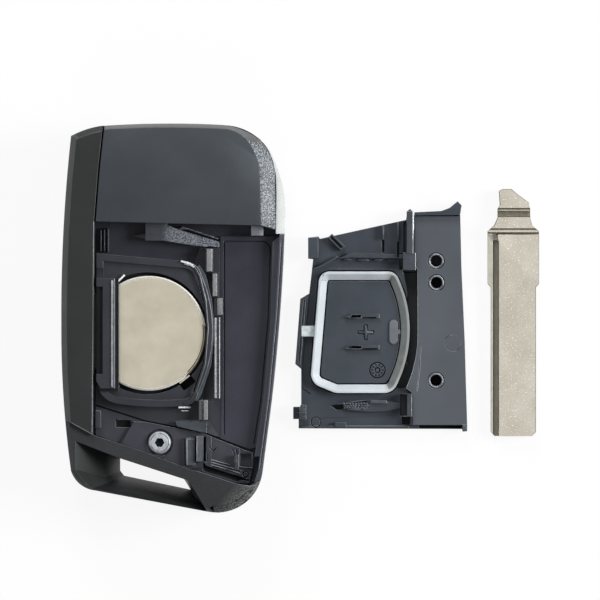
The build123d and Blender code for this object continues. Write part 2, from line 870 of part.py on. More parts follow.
# Flat spiral spring round the hub's boss
spring_level = 4.15
spring_strip = 0.14
spring_pitch = 0.4
spiral_start = 0.22
spiral_turns = 2
spiral_points = 12
spiral_route = []
for k in range(spiral_points * spiral_turns + 1):
    spiral_reach = boss_radius + spiral_start + spring_pitch * k / spiral_points
    spiral_turn = 2 * math.pi * k / spiral_points
    spiral_route.append(
        (hub_x + spiral_reach * math.cos(spiral_turn), hub_y + spiral_reach * math.sin(spiral_turn))
    )
with BuildPart() as flip_spring:
    with BuildSketch(Plane.XY.offset(spring_level)):
        with BuildLine():
            Polyline(*spiral_route)
        trace(line_width=spring_strip)
    extrude(amount=0.8)
flip_spring.part.label = "flip_spring"

# Release button in the middle of the hub
with BuildPart() as release_button:
    with Locations((hub_x, hub_y, release_recess)):
        Cylinder(
            release_radius,
            front_floor - release_recess,
            align=(Align.CENTER, Align.CENTER, Align.MIN),
        )
    with Locations((hub_x, hub_y, front_floor)):
        Cylinder(
            release_radius + release_flange,
            release_flange_height,
            align=(Align.CENTER, Align.CENTER, Align.MIN),
        )
    with Locations((hub_x, hub_y, front_floor + release_flange_height)):
        Cylinder(
            release_stem, release_stem_height - 1.2, align=(Align.CENTER, Align.CENTER, Align.MIN)
        )
    chamfer(release_button.edges().group_by(Axis.Z)[0], 0.3)
release_button.part.label = "release_button"

# Release spring between the button's flange and the hub
release_spring_bottom = front_floor + release_flange_height
release_spring_top = hub_bottom - boss_drop
spring_wire = 0.3
spring_turns = 3
spring_coil_radius = 2.7
spring_points = 8
spring_rise = release_spring_top - release_spring_bottom - spring_wire * 1.3
spring_route = [
    (
        hub_x + spring_coil_radius * math.cos(2 * math.pi * k / spring_points),
        hub_y + spring_coil_radius * math.sin(2 * math.pi * k / spring_points),
        release_spring_bottom
        + spring_wire * 0.65
        + spring_rise * k / (spring_points * spring_turns),
    )
    for k in range(spring_points * spring_turns + 1)
]
with BuildPart() as release_spring:
    with BuildLine() as coil_line:
        Polyline(*spring_route)
    with BuildSketch(Plane(coil_line.line @ 0, z_dir=coil_line.line % 0)):
        Rectangle(spring_wire, spring_wire)
    sweep(transition=Transition.RIGHT)
release_spring.part.label = "release_spring"

# Remote buttons
button_names = ["lock_button", "unlock_button", "boot_button"]
for button_name, (bx, by) in zip(button_names, button_centres):
    with BuildPart() as remote_button:
        with BuildSketch(Plane.XY.offset(button_recess)):
            with Locations((bx, by)):
                RectangleRounded(button_width, button_depth, button_corner)
        extrude(amount=front_floor - button_recess)
        chamfer(remote_button.edges().group_by(Axis.Z)[0], 0.3)
        with BuildSketch(Plane.XY.offset(front_floor)):
            with Locations((bx, by)):
                Rectangle(button_width + 2 * button_flange, button_depth + 2 * button_flange)
        extrude(amount=button_flange_height)
        with Locations((bx, by, front_floor + button_flange_height)):
            Box(2.6, 2.6, button_nub, align=(Align.CENTER, Align.CENTER, Align.MIN))
    remote_button.part.label = button_name
    export_step(remote_button.part, "parts/" + button_name + ".step")

# Battery cover, inner face up
cover_points = [
    (1.26, 14.0),
    (3.05, 14.2),
    (3.33, 13.78),
    (14.32, 16.18),
    (18.4, 17.09),
    (18.6, 18.6),
    (19.11, 19.04),
    (19.72, 18.41),
    (24.52, 18.64),
    (26.0, 19.18),
    (27.4, 20.33),
    (28.1, 19.6),
    (27.83, 17.84),
    (28.07, 9.0),
    (28.67, -4.53),
    (29.1, -19.9),
    (28.3, -19.95),
    (28.2, -19.5),
    (-0.4, -19.39),
    (-0.4, -17.75),
    (-1.31, -17.75),
    (-1.31, -15.64),
    (0.05, -15.59),
    (0.05, -9.0),
    (-0.99, -8.14),
    (-0.1, 3.28),
    (1.45, 4.17),
    (2.14, 10.22),
    (1.26, 10.3),
]
seal_width = 1.5
with BuildSketch() as seal_plan:
    with BuildLine():
        Polyline((16.0, -13.2), (6.0, -13.2), (1.6, -11.4), (3.25, 8.05), (16.45, 8.05))
        ThreePointArc((16.45, 8.05), (19.0, -1.6), (16.0, -13.2))
    make_face()
    fillet(seal_plan.vertices().group_by(Axis.Y)[-1], 1.9)
    fillet(seal_plan.vertices().filter_by(lambda v: v.X > 15.9 and v.Y < -13.0), 2.4)
    fillet(seal_plan.vertices().filter_by(lambda v: 5.0 < v.X < 7.0), 3.0)
    fillet(seal_plan.vertices().filter_by(lambda v: v.X < 1.7), 2.4)
# Vent pad and its neck, with the recess they lie in
pad_x = 16.2
pad_y = -2.5
pad_width = 1.5
pad_length = 4.3
pad_step = 0.5
with BuildPart() as battery_cover:
    with BuildSketch():
        with BuildLine():
            Polyline(*cover_points, close=True)
        make_face()
    extrude(amount=cover_skin)
    # left flange that hooks into the housing slot
    with BuildSketch():
        with BuildLine():
            Polyline((0.1, -8.9), (-0.99, -8.14), (-0.1, 3.28), (1.3, 4.1), close=True)
        make_face()
    extrude(amount=2.3)
    # right plate with three round sockets, curved where it follows the seal
    with BuildSketch():
        with BuildLine():
            Polyline(
                (20.4, -4.2),
                (20.4, 8.2),
                (19.9, 9.4),
                (19.9, 18.2),
                (27.85, 18.2),
                (28.07, 9.0),
                (28.67, -4.53),
                (29.05, -18.8),
                (19.5, -18.8),
                (19.5, -13.2),
                (18.4, -12.3),
            )
            ThreePointArc((18.4, -12.3), (19.75, -8.4), (20.4, -4.2))
        make_face()
    extrude(amount=cover_plate)
    with Locations((23.64, 9.9, cover_plate), (23.7, 6.09, cover_plate), (23.61, -10.99, cover_plate)):
        Cylinder(0.98, 2.0, align=(Align.CENTER, Align.CENTER, Align.MAX), mode=Mode.SUBTRACT)
    # deep gutter between the seal and the plate
    with BuildSketch(Plane.XY.offset(gutter_floor)):
        with BuildLine():
            Polyline(
                (18.4, -12.3), (16.4, -12.3), (18.6, -8.0), (18.6, 4.5), (17.9, 8.2), (20.4, 8.2), (20.4, -4.2)
            )
            ThreePointArc((20.4, -4.2), (19.75, -8.4), (18.4, -12.3))
        make_face()
        add(seal_plan.sketch, mode=Mode.SUBTRACT)
    extrude(amount=2.0, mode=Mode.SUBTRACT)
    # rim at the top of the plate, with its ear
    with BuildSketch():
        with BuildLine():
            Polyline(
                (19.72, 17.9),
                (19.72, 18.41),
                (24.52, 18.64),
                (26.0, 19.18),
                (27.4, 20.33),
                (28.1, 19.6),
                (27.8, 17.9),
                close=True,
            )
        make_face()
    extrude(amount=3.6)
    # tall rib, cube clip and the block at the lower end of the seal
    with BuildSketch():
        with Locations((19.15, 14.9)):
            Rectangle(1.3, 7.4)
    extrude(amount=4.0)
    with BuildSketch():
        with Locations((18.95, 9.8)):
            Rectangle(2.2, 3.0)
        with Locations((18.6, -15.3)):
            Rectangle(1.6, 4.0)
    extrude(amount=3.8)
    # ledge above the seal and the step beside it
    with BuildSketch():
        with BuildLine():
            Polyline((8.9, 11.3), (17.9, 11.0), (17.9, 10.3), (8.9, 10.5), (6.6, 10.3), close=True)
        make_face()
    extrude(amount=2.4)
    # corner tabs
    with BuildSketch():
        with Locations((2.15, 12.2)):
            Rectangle(1.78, 3.6)
        with Locations((-0.6, -16.7)):
            Rectangle(1.4, 2.1)
        with Locations((0.4, -16.6)):
            Rectangle(1.0, 2.6)
    extrude(amount=3.0)
    # slanted clip and the two thin ribs
    with BuildSketch():
        with Locations(Location((6.2, 13.18), -45)):
            Rectangle(3.2, 1.0)
        with Locations((14.37, 13.7)):
            Rectangle(0.35, 4.6)
        with Locations((17.0, 13.5)):
            Rectangle(0.35, 6.2)
    extrude(amount=2.5)
    # bottom wall and the lens-shaped bar above it
    with BuildSketch():
        with Locations((9.4, -19.15)):
            Rectangle(19.0, 0.4)
        with BuildLine():
            ThreePointArc((5.4, -15.5), (10.0, -14.55), (15.4, -14.7))
            Polyline((15.4, -14.7), (17.8, -15.2), (17.8, -15.7), (15.4, -16.3))
            ThreePointArc((15.4, -16.3), (9.8, -16.35), (5.4, -15.5))
        make_face()
    extrude(amount=2.1)
    # raised floor inside the seal with its two pointed ribs
    with BuildSketch():
        add(seal_plan.sketch)
        offset(amount=-seal_width)
    extrude(amount=seal_floor)
    with BuildSketch():
        for rib_y in (0.25, -5.2):
            with BuildLine():
                Polyline(
                    (7.6, rib_y - 0.2),
                    (9.2, rib_y + 0.35),
                    (13.7, rib_y + 0.35),
                    (13.7, rib_y - 0.35),
                    (9.2, rib_y - 0.35),
                    close=True,
                )
            make_face()
    extrude(amount=seal_floor + 0.7)
    # recess of the vent pad and of the seal's tab
    with BuildSketch(Plane.XY.offset(seal_floor - pad_step)):
        with Locations((pad_x, pad_y)):
            SlotOverall(pad_length, pad_width, rotation=90)
        with Locations((pad_x + 1.2, pad_y)):
            Rectangle(1.6, 0.8)
    extrude(amount=2.0, mode=Mode.SUBTRACT)
    with BuildSketch(Plane.XY.offset(cover_skin)):
        with Locations((1.25, -2.38)):
            Rectangle(2.4, 2.0)
    extrude(amount=3.0, mode=Mode.SUBTRACT)
battery_cover.part.label = "battery_cover"

# Silicone seal with its fixing tab
with BuildPart() as cover_seal:
    with BuildSketch(Plane.XY.offset(cover_skin)):
        add(seal_plan.sketch)
    extrude(amount=seal_top - cover_skin)
    with BuildSketch(Plane.XY.offset(cover_skin)):
        add(seal_plan.sketch)
        offset(amount=-seal_width)
    extrude(amount=4.0, mode=Mode.SUBTRACT)
    with BuildSketch(Plane.XY.offset(cover_skin)):
        with Locations((1.25, -2.38)):
            Rectangle(2.4, 1.9)
    extrude(amount=1.0)
cover_seal.part.label = "cover_seal"

# Vent pad inside the seal
with BuildPart() as vent_pad:
    with BuildSketch(Plane.XY.offset(seal_floor - pad_step)):
        with Locations((pad_x, pad_y)):
            SlotOverall(pad_length, pad_width, rotation=90)
        with Locations((pad_x + 0.85, pad_y)):
            Rectangle(0.7, 0.8)
    extrude(amount=pad_step + 0.3)
vent_pad.part.label = "vent_pad"

# Uncut key blade: head for the hub, shoulders and a shank that narrows once
shank_x = 37.14
shoulder_y = 15.1
step_y = shoulder_y - blade_step
tip_y = shoulder_y - blade_length
half_upper = blade_upper_width / 2
half_lower = blade_lower_width / 2
with BuildPart() as key_blade:
    with BuildSketch():
        with BuildLine():
            Polyline(
                (shank_x - half_upper, shoulder_y),
                (33.8, 16.15),
                (34.39, 17.44),
                (34.39, 19.0),
                (34.79, 19.7),
                (34.63, 22.13),
                (35.27, 22.48),
                (36.81, 22.48),
                (37.61, 21.8),
                (39.95, 20.02),
                (40.1, 19.0),
                (40.1, 17.44),
                (40.44, 16.15),
                (shank_x + half_upper, shoulder_y),
                (shank_x + half_upper, step_y),
                (shank_x + half_lower, step_y - 0.6),
                (shank_x + half_lower, tip_y + 0.7),
                (shank_x + half_lower - 0.7, tip_y),
                (shank_x - half_lower + 0.7, tip_y),
                (shank_x - half_lower, tip_y + 0.7),
                (shank_x - half_lower, step_y - 0.6),
                (shank_x - half_upper, step_y),
                close=True,
            )
        make_face()
    extrude(amount=blade_thickness)
    # groove across the head and the milled side track, on both faces
    with BuildSketch(Plane.XY.offset(blade_thickness - 0.35)):
        with Locations((37.2, 18.2)):
            Rectangle(8.0, 0.8)
    extrude(amount=1.0, mode=Mode.SUBTRACT)
    with BuildSketch(Plane.XY.offset(blade_thickness - 0.7)):
        with Locations((33.3, -3.2)):
            Rectangle(2.1, 35.6)
    extrude(amount=1.0, mode=Mode.SUBTRACT)
    with BuildSketch(Plane.XY.offset(blade_thickness - 1.0)):
        with Locations((34.3, -3.3)):
            Rectangle(0.5, 33.4)
    extrude(amount=1.0, mode=Mode.SUBTRACT)
    with BuildSketch():
        with Locations((40.9, -3.2)):
            Rectangle(2.1, 35.6)
    extrude(amount=0.7, mode=Mode.SUBTRACT)
key_blade.part.label = "key_blade"

for piece in (
    front_shell,
    back_shell,
    side_rail,
    head_cover,
    bright_trim,
    ring_loop,
    battery_tray,
    coin_cell,
    contact_minus,
    contact_plus,
    chassis,
    lower_plate,
    chassis_screw,
    stop_arm,
    keypad_membrane,
    circuit_board,
    tact_switches,
    controller_chip,
    radio_crystal,
    transponder_coil,
    flip_hub,
    flip_spring,
    release_button,
    release_spring,
    battery_cover,
    cover_seal,
    vent_pad,
    key_blade,
):
    export_step(piece.part, "parts/" + piece.part.label + ".step")
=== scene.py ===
import json
import math

import bpy
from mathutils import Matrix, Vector

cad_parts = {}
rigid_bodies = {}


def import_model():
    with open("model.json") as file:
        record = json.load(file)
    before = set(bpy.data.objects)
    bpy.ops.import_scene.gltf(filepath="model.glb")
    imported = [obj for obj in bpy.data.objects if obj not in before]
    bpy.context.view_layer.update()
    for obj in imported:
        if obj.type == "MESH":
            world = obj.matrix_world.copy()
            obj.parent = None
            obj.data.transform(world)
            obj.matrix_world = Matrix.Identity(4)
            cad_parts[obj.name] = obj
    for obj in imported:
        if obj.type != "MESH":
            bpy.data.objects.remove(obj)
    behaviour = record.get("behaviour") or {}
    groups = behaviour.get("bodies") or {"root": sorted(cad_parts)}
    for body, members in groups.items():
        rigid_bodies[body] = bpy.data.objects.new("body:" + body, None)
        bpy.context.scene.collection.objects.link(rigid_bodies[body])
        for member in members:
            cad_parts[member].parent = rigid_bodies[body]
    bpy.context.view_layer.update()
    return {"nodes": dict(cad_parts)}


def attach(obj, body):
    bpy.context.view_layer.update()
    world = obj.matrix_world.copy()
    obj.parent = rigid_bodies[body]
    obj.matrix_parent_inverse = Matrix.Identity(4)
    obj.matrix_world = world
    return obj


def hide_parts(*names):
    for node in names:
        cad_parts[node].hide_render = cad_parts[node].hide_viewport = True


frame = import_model()
nodes = frame["nodes"]
mm = 0.001
mergeGap = 0.000002  # in metres: corners nearer than this are one
sliverGap = 0.000006  # and faces narrower than this go


# Small tools

def deselectAll():
    if bpy.context.object and bpy.context.object.mode != "OBJECT":
        bpy.ops.object.mode_set(mode="OBJECT")
    bpy.ops.object.select_all(action="DESELECT")


def pick(piece):
    deselectAll()
    piece.select_set(True)
    bpy.context.view_layer.objects.active = piece


def startEdit(piece):
    # edit mode with all of the piece selected and its doubles merged
    pick(piece)
    bpy.ops.object.mode_set(mode="EDIT")
    bpy.ops.mesh.select_all(action="SELECT")
    bpy.ops.mesh.remove_doubles(threshold=mergeGap)


def endEdit():
    bpy.ops.mesh.select_all(action="DESELECT")
    bpy.ops.object.mode_set(mode="OBJECT")


def copyNode(nodeName, pieceName):
    # a CAD node's copy at the origin, its triangles merged and its flat faces joined up
    pick(nodes[nodeName])
    bpy.ops.object.duplicate()
    piece = bpy.context.object
    bpy.ops.object.parent_clear(type="CLEAR_KEEP_TRANSFORM")
    bpy.ops.object.transform_apply(location=True, rotation=True, scale=True)
    piece.name = pieceName
    startEdit(piece)
    bpy.ops.mesh.dissolve_limited(angle_limit=math.radians(0.6))
    endEdit()
    return piece


def cutOut(piece, cutter, mode="DIFFERENCE"):
    pick(piece)
    cut = piece.modifiers.new("cut", "BOOLEAN")
    cut.operation = mode
    cut.object = cutter
    cut.solver = "EXACT"
    bpy.ops.object.modifier_apply(modifier=cut.name)
    bpy.data.objects.remove(cutter, do_unlink=True)


def addPrism(outline, bottom, top, slope=(0.0, 0.0)):
    # a filled ring of points laid out flat and drawn up; its top may fall along x and y
    deselectAll()
    bpy.ops.mesh.primitive_circle_add(vertices=len(outline), radius=mm, fill_type="NGON")
    prism = bpy.context.object
    for vertex, (x, y) in zip(prism.data.vertices, outline):
        vertex.co = (x * mm, y * mm, bottom * mm)
    bpy.ops.object.mode_set(mode="EDIT")
    bpy.ops.mesh.select_all(action="SELECT")
    bpy.ops.mesh.extrude_region_move(TRANSFORM_OT_translate={"value": (0.0, 0.0, (top - bottom) * mm)})
    bpy.ops.mesh.select_all(action="SELECT")
    bpy.ops.mesh.normals_make_consistent(inside=False)
    bpy.ops.object.mode_set(mode="OBJECT")
    if slope != (0.0, 0.0):
        middleX, middleY = [sum(p[i] for p in outline) / len(outline) * mm for i in (0, 1)]
        for vertex in prism.data.vertices:
            if vertex.co.z > bottom * mm + 1e-7:
                fall = slope[0] * (vertex.co.x - middleX) + slope[1] * (vertex.co.y - middleY)
                vertex.co.z -= fall
    return prism


def boxOutline(centre, size, turn=0.0):
    c, s = math.cos(math.radians(turn)), math.sin(math.radians(turn))
    corners = [(-0.5, -0.5), (0.5, -0.5), (0.5, 0.5), (-0.5, 0.5)]
    return [
        (centre[0] + u * size[0] * c - v * size[1] * s, centre[1] + u * size[0] * s + v * size[1] * c)
        for u, v in corners
    ]


def around(centre, radius, turn):
    # the point at this angle, in radians, on a circle
    return (centre[0] + radius * math.cos(turn), centre[1] + radius * math.sin(turn))


def discOutline(centre, radius, sides=40):
    return [around(centre, radius, 2 * math.pi * k / sides) for k in range(sides)]


def trackOutline(route, width):
    # both sides of a route, mitred at its corners
    left, right = [], []
    for i, (x, y) in enumerate(route):
        normals = []
        for (ax, ay), (bx, by) in zip(route[max(i - 1, 0) : i + 1], route[max(i - 1, 0) + 1 : i + 2]):
            run = math.hypot(bx - ax, by - ay)
            normals.append(((ay - by) / run, (bx - ax) / run))
        mx = sum(n[0] for n in normals)
        my = sum(n[1] for n in normals)
        length = math.hypot(mx, my)
        reach = width / 2 / ((mx * normals[0][0] + my * normals[0][1]) / length)
        left.append((x + mx / length * reach, y + my / length * reach))
        right.append((x - mx / length * reach, y - my / length * reach))
    return left + right[::-1]


def arcThrough(a, b, c, steps):
    # points on the circle through three points, from the first to the last
    d = 2 * (a[0] * (b[1] - c[1]) + b[0] * (c[1] - a[1]) + c[0] * (a[1] - b[1]))
    squares = [p[0] ** 2 + p[1] ** 2 for p in (a, b, c)]
    cx = (squares[0] * (b[1] - c[1]) + squares[1] * (c[1] - a[1]) + squares[2] * (a[1] - b[1])) / d
    cy = (squares[0] * (c[0] - b[0]) + squares[1] * (a[0] - c[0]) + squares[2] * (b[0] - a[0])) / d
    radius = math.hypot(a[0] - cx, a[1] - cy)
    start, middle, end = [math.atan2(p[1] - cy, p[0] - cx) for p in (a, b, c)]
    sweep = (end - start) % (2 * math.pi)
    if (middle - start) % (2 * math.pi) > sweep:
        sweep -= 2 * math.pi
    return [around((cx, cy), radius, start + sweep * k / steps) for k in range(steps + 1)]


def roundCorners(corners, steps=5):
    # a closed outline from corners given as (x, y, radius)
    outline = []
    for i, (x, y, radius) in enumerate(corners):
        if not radius:
            outline.append((x, y))
            continue
        ways = []
        for ox, oy, _ in (corners[i - 1], corners[(i + 1) % len(corners)]):
            run = math.hypot(ox - x, oy - y)
            ways.append(((ox - x) / run, (oy - y) / run))
        half = math.acos(max(-1.0, min(1.0, ways[0][0] * ways[1][0] + ways[0][1] * ways[1][1]))) / 2
        reach = radius / math.tan(half)
        inward = (ways[0][0] + ways[1][0], ways[0][1] + ways[1][1])
        size = math.hypot(*inward)
        gap = radius / math.sin(half) - radius
        outline += arcThrough(
            (x + ways[0][0] * reach, y + ways[0][1] * reach),
            (x + inward[0] / size * gap, y + inward[1] / size * gap),
            (x + ways[1][0] * reach, y + ways[1][1] * reach),
            steps,
        )
    return outline


def grow(outline, distance):
    # a clockwise closed outline moved outwards
    moved = []
    for i, (x, y) in enumerate(outline):
        before, after = outline[i - 1], outline[(i + 1) % len(outline)]
        normals = []
        for (ax, ay), (bx, by) in ((before, (x, y)), ((x, y), after)):
            run = math.hypot(bx - ax, by - ay)
            normals.append(((ay - by) / run, (bx - ax) / run))
        mx, my = normals[0][0] + normals[1][0], normals[0][1] + normals[1][1]
        length = math.hypot(mx, my)
        reach = distance / ((mx * normals[0][0] + my * normals[0][1]) / length)
        moved.append((x + mx / length * reach, y + my / length * reach))
    return moved


def within(point, outline):
    # whether a point lies inside a closed outline
    inside = False
    for (ax, ay), (bx, by) in zip(outline, outline[1:] + outline[:1]):
        if (ay > point[1]) != (by > point[1]) and point[0] < (bx - ax) * (point[1] - ay) / (by - ay) + ax:
            inside = not inside
    return inside


def buildShape(kind, plan, size, bottom, top, slope=(0.0, 0.0)):
    # one detail: its kind, its place or outline, its size, its lower and upper level and the fall of its top
    if kind == "box":
        return addPrism(boxOutline(plan[:2], size, plan[2] if len(plan) > 2 else 0.0), bottom, top, slope)
    if kind == "disc":
        return addPrism(discOutline(plan, size), bottom, top, slope)
    if kind in ("ring", "band"):
        outer, inner = [discOutline(plan, s) if kind == "ring" else grow(plan, s) for s in size]
        hoop = addPrism(outer, bottom, top)
        cutOut(hoop, addPrism(inner, bottom - 0.5, top + 0.5))
        return hoop
    if kind == "track":
        return addPrism(trackOutline(plan, size), bottom, top, slope)
    return addPrism(plan, bottom, top, slope)


def shape(piece, raised=(), sunk=()):
    # what is cut out comes first, then what stands on the piece; faces are split before edges are softened
    for details in sunk:
        cutOut(piece, buildShape(*details))
    for details in raised:
        cutOut(piece, buildShape(*details), "UNION")
    startEdit(piece)
    bpy.ops.mesh.quads_convert_to_tris(ngon_method="BEAUTY")
    endEdit()


def bevelWhere(piece, width, segments, chosen):
    # only the edges that the test picks, by their middle and direction
    pick(piece)
    mesh = piece.data
    bpy.ops.object.mode_set(mode="EDIT")
    bpy.ops.mesh.select_mode(type="EDGE")
    bpy.ops.mesh.select_all(action="DESELECT")
    bpy.ops.object.mode_set(mode="OBJECT")
    for edge in mesh.edges:
        a, b = [mesh.vertices[i].co / mm for i in edge.vertices]
        edge.select = bool(chosen(a, b))
    bpy.ops.object.mode_set(mode="EDIT")
    bpy.ops.mesh.bevel(offset=width * mm, segments=segments, affect="EDGES", clamp_overlap=False)
    bpy.ops.object.mode_set(mode="OBJECT")


def softenEdges(piece, width, segments=2, angle=32):
    pick(piece)
    bevel = piece.modifiers.new("softEdges", "BEVEL")
    bevel.width = width * mm
    bevel.segments = segments
    bevel.limit_method = "ANGLE"
    bevel.angle_limit = math.radians(angle)
    bevel.use_clamp_overlap = False
    bevel.miter_outer = "MITER_ARC"
    bpy.ops.object.modifier_apply(modifier=bevel.name)


def shadeFlatFaces(piece):
    # rounds shade smoothly and the flat faces beside them stay flat
    startEdit(piece)
    bpy.ops.mesh.dissolve_degenerate(threshold=sliverGap)
    bpy.ops.mesh.dissolve_limited(angle_limit=math.radians(0.3))
    bpy.ops.mesh.normals_make_consistent(inside=False)
    endEdit()
    bpy.ops.object.shade_smooth_by_angle(angle=math.radians(50))
    weigh = piece.modifiers.new("flatFaces", "WEIGHTED_NORMAL")
    weigh.keep_sharp = True
    bpy.ops.object.modifier_apply(modifier=weigh.name)


def paintWhere(piece, material, chosen):
    # a second finish on the faces that the test picks, by their middle and normal
    piece.data.materials.append(material)
    index = len(piece.data.materials) - 1
    for face in piece.data.polygons:
        if chosen(face.center / mm, face.normal):
            face.material_index = index


def settle(piece, material, nodeNames, body, flat=True):
    # shading, finish, the CAD nodes that the piece stands for, and its body
    if flat:
        shadeFlatFaces(piece)
    else:
        pick(piece)
        bpy.ops.object.shade_smooth_by_angle(angle=math.radians(40))
    piece.data.materials.clear()
    piece.data.materials.append(material)
    if nodeNames:
        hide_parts(*nodeNames)
    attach(piece, body)


# Materials

def linear(hexColour):
    values = [int(hexColour[i : i + 2], 16) / 255 for i in (1, 3, 5)]
    return tuple([v / 12.92 if v <= 0.04045 else ((v + 0.055) / 1.055) ** 2.4 for v in values] + [1.0])


def addNode(tree, kind, settings=None, inputs=None, links=None):
    # one node with its settings, its unlinked inputs and its links: {input: (node, output)}
    node = tree.nodes.new(kind)
    for key, value in (settings or {}).items():
        setattr(node, key, value)
    for key, value in (inputs or {}).items():
        node.inputs[key].default_value = value
    for key, (source, output) in (links or {}).items():
        tree.links.new(source.outputs[output], node.inputs[key])
    return node


def startMaterial(name):
    material = bpy.data.materials.new(name)
    material.use_nodes = True
    material.node_tree.nodes.clear()
    return material, material.node_tree


def perMetre(millimetres):
    # noise scale for features of this size
    return 1000.0 / millimetres


def addSpecks(tree, place, base, specks):
    # specks where a fine noise peaks, painted glints when pale and painted shade when grey; a zone keeps
    # them to one end of the piece
    fineNoise = addNode(
        tree,
        "ShaderNodeTexNoise",
        inputs={"Scale": perMetre(specks["size"]), "Detail": 1.0, "Roughness": 0.5},
        links={"Vector": (place, "Object")},
    )
    amount = addNode(
        tree,
        "ShaderNodeMapRange",
        inputs={"From Min": specks["from"], "From Max": specks["to"]},
        links={"Value": (fineNoise, "Fac")},
    )
    shown = (amount, "Result")
    if specks["zone"]:
        way, near, far = specks["zone"]
        along = addNode(
            tree,
            "ShaderNodeVectorMath",
            {"operation": "DOT_PRODUCT"},
            inputs={1: way},
            links={0: (place, "Object")},
        )
        fade = addNode(
            tree,
            "ShaderNodeMapRange",
            inputs={"From Min": near * mm, "From Max": far * mm},
            links={"Value": (along, "Value")},
        )
        both = addNode(
            tree,
            "ShaderNodeMath",
            {"operation": "MULTIPLY"},
            links={0: shown, 1: (fade, "Result")},
        )
        shown = (both, "Value")
    mixed = addNode(
        tree,
        "ShaderNodeMix",
        {"data_type": "RGBA"},
        inputs={7: linear(specks["colour"])},
        links={0: shown, 6: base},
    )
    return (mixed, 2)


def addTone(tree, place, size, detail, spread, tones, specks):
    # a colour that drifts between a dark and a light tone, with its specks
    drift = addNode(
        tree,
        "ShaderNodeTexNoise",
        inputs={"Scale": perMetre(size), "Detail": detail, "Roughness": 0.6},
        links={"Vector": (place, "Object")},
    )
    ramp = addNode(tree, "ShaderNodeValToRGB", links={"Fac": (drift, "Fac")})
    for stop, position, tone in zip(ramp.color_ramp.elements, spread, tones):
        stop.position = position
        stop.color = linear(tone)
    if specks:
        return addSpecks(tree, place, (ramp, "Color"), specks)
    return (ramp, "Color")


def addSkin(tree, colour, texture, strength, depth, gloss, sockets):
    # one texture gives the relief and the uneven gloss; gloss holds its range and the roughness at each end
    relief = addNode(
        tree,
        "ShaderNodeBump",
        inputs={"Strength": strength, "Distance": depth * mm},
        links={"Height": (texture, "Fac")},
    )
    shine = addNode(
        tree,
        "ShaderNodeMapRange",
        inputs=dict(zip(("From Min", "From Max", "To Min", "To Max"), gloss)),
        links={"Value": (texture, "Fac")},
    )
    skin = addNode(
        tree,
        "ShaderNodeBsdfPrincipled",
        inputs=sockets,
        links={"Base Color": colour, "Roughness": (shine, "Result"), "Normal": (relief, "Normal")},
    )
    addNode(tree, "ShaderNodeOutputMaterial", links={"Surface": (skin, "BSDF")})


def mouldedPlastic(name, tones, cloudSize, grain, roughness, ior=1.46, specks=None):
    # injection moulded in a spark-eroded tool: a satin skin with fine pits and an uneven tone; given specks
    # add painted glints, and on the seal painted shade
    material, tree = startMaterial(name)
    place = addNode(tree, "ShaderNodeTexCoord")
    colour = addTone(tree, place, cloudSize, 3.0, (0.3, 0.72), tones, specks)
    grainSize, strength, depth = grain
    fineNoise = addNode(
        tree,
        "ShaderNodeTexNoise",
        inputs={"Scale": perMetre(grainSize), "Detail": 1.0, "Roughness": 0.5},
        links={"Vector": (place, "Object")},
    )
    gloss = (0.3, 0.7, roughness + 0.05, roughness - 0.05)
    addSkin(tree, colour, fineNoise, strength, depth, gloss, {"IOR": ior, "Metallic": 0.0})
    return material


def workedMetal(name, tones, spread, patchSize, scratch, roughness, metallic, specks=None):
    # metal with fine scratches, and specks as painted glints where given, each scaled from a size in
    # millimetres
    material, tree = startMaterial(name)
    place = addNode(tree, "ShaderNodeTexCoord")
    colour = addTone(tree, place, patchSize, 4.0, spread, tones, specks)
    stretch = addNode(
        tree,
        "ShaderNodeMapping",
        inputs={"Scale": scratch["stretch"], "Rotation": (0.0, 0.0, math.radians(scratch["turn"]))},
        links={"Vector": (place, "Object")},
    )
    scratches = addNode(
        tree,
        "ShaderNodeTexNoise",
        inputs={"Scale": perMetre(scratch["size"]), "Detail": 2.0, "Roughness": 0.6},
        links={"Vector": (stretch, "Vector")},
    )
    gloss = (0.25, 0.75, roughness - 0.1, roughness + 0.1)
    addSkin(tree, colour, scratches, scratch["strength"], scratch["depth"], gloss, {"Metallic": metallic})
    return material


def speckLook(size, start, full, colour, zone=None):
    # a zone is a direction with the distances along it, in millimetres, where the specks begin and are full
    return {"size": size, "from": start, "to": full, "colour": colour, "zone": zone}


def scratchLook(size, strength, depth, stretch=(1.0, 1.0, 1.0), turn=0.0):
    return {"size": size, "strength": strength, "depth": depth, "stretch": stretch, "turn": turn}


# Plastics: dark and light tone, size of the drift between them, grain as (size, strength, depth), roughness.
# Sizes are in millimetres, and a real eroded grain of 0.05 is drawn at about 0.3 so that it shows.

# moulded shells: an even, dark blue-grey satin
shellAbs = mouldedPlastic("shellAbsMoulded", ("#2f3039", "#3a3b46"), 12.0, (0.3, 0.3, 0.03), 0.42)
# the rim's top, painted paler than the shell as painted light
rimAbs = mouldedPlastic("rimAbsPaintedLight", ("#464751", "#53545e"), 10.0, (0.3, 0.4, 0.04), 0.4)
# painted shade for deep bays: greener and nearly black
cavityAbs = mouldedPlastic("cavityAbsPaintedShade", ("#25292b", "#2e3234"), 9.0, (0.3, 0.2, 0.03), 0.45)
# side rail: neutral, nearly black, with a soft sheen; its outer edge is painted grey as painted sheen
railAbs = mouldedPlastic("railAbsSatin", ("#272a2a", "#2f3131"), 12.0, (0.25, 0.12, 0.02), 0.42)
railEdgeAbs = mouldedPlastic("railEdgePaintedSheen", ("#464848", "#515353"), 8.0, (0.25, 0.2, 0.02), 0.42)
# head cover: satin, lighter than the shells; its upper bevel is painted pale as painted sheen
headAbs = mouldedPlastic("headCoverAbsSatin", ("#3a3d42", "#444a50"), 16.0, (0.3, 0.4, 0.03), 0.42)
headBrowAbs = mouldedPlastic("headBrowPaintedSheen", ("#545556", "#626363"), 5.0, (0.3, 0.4, 0.03), 0.4)
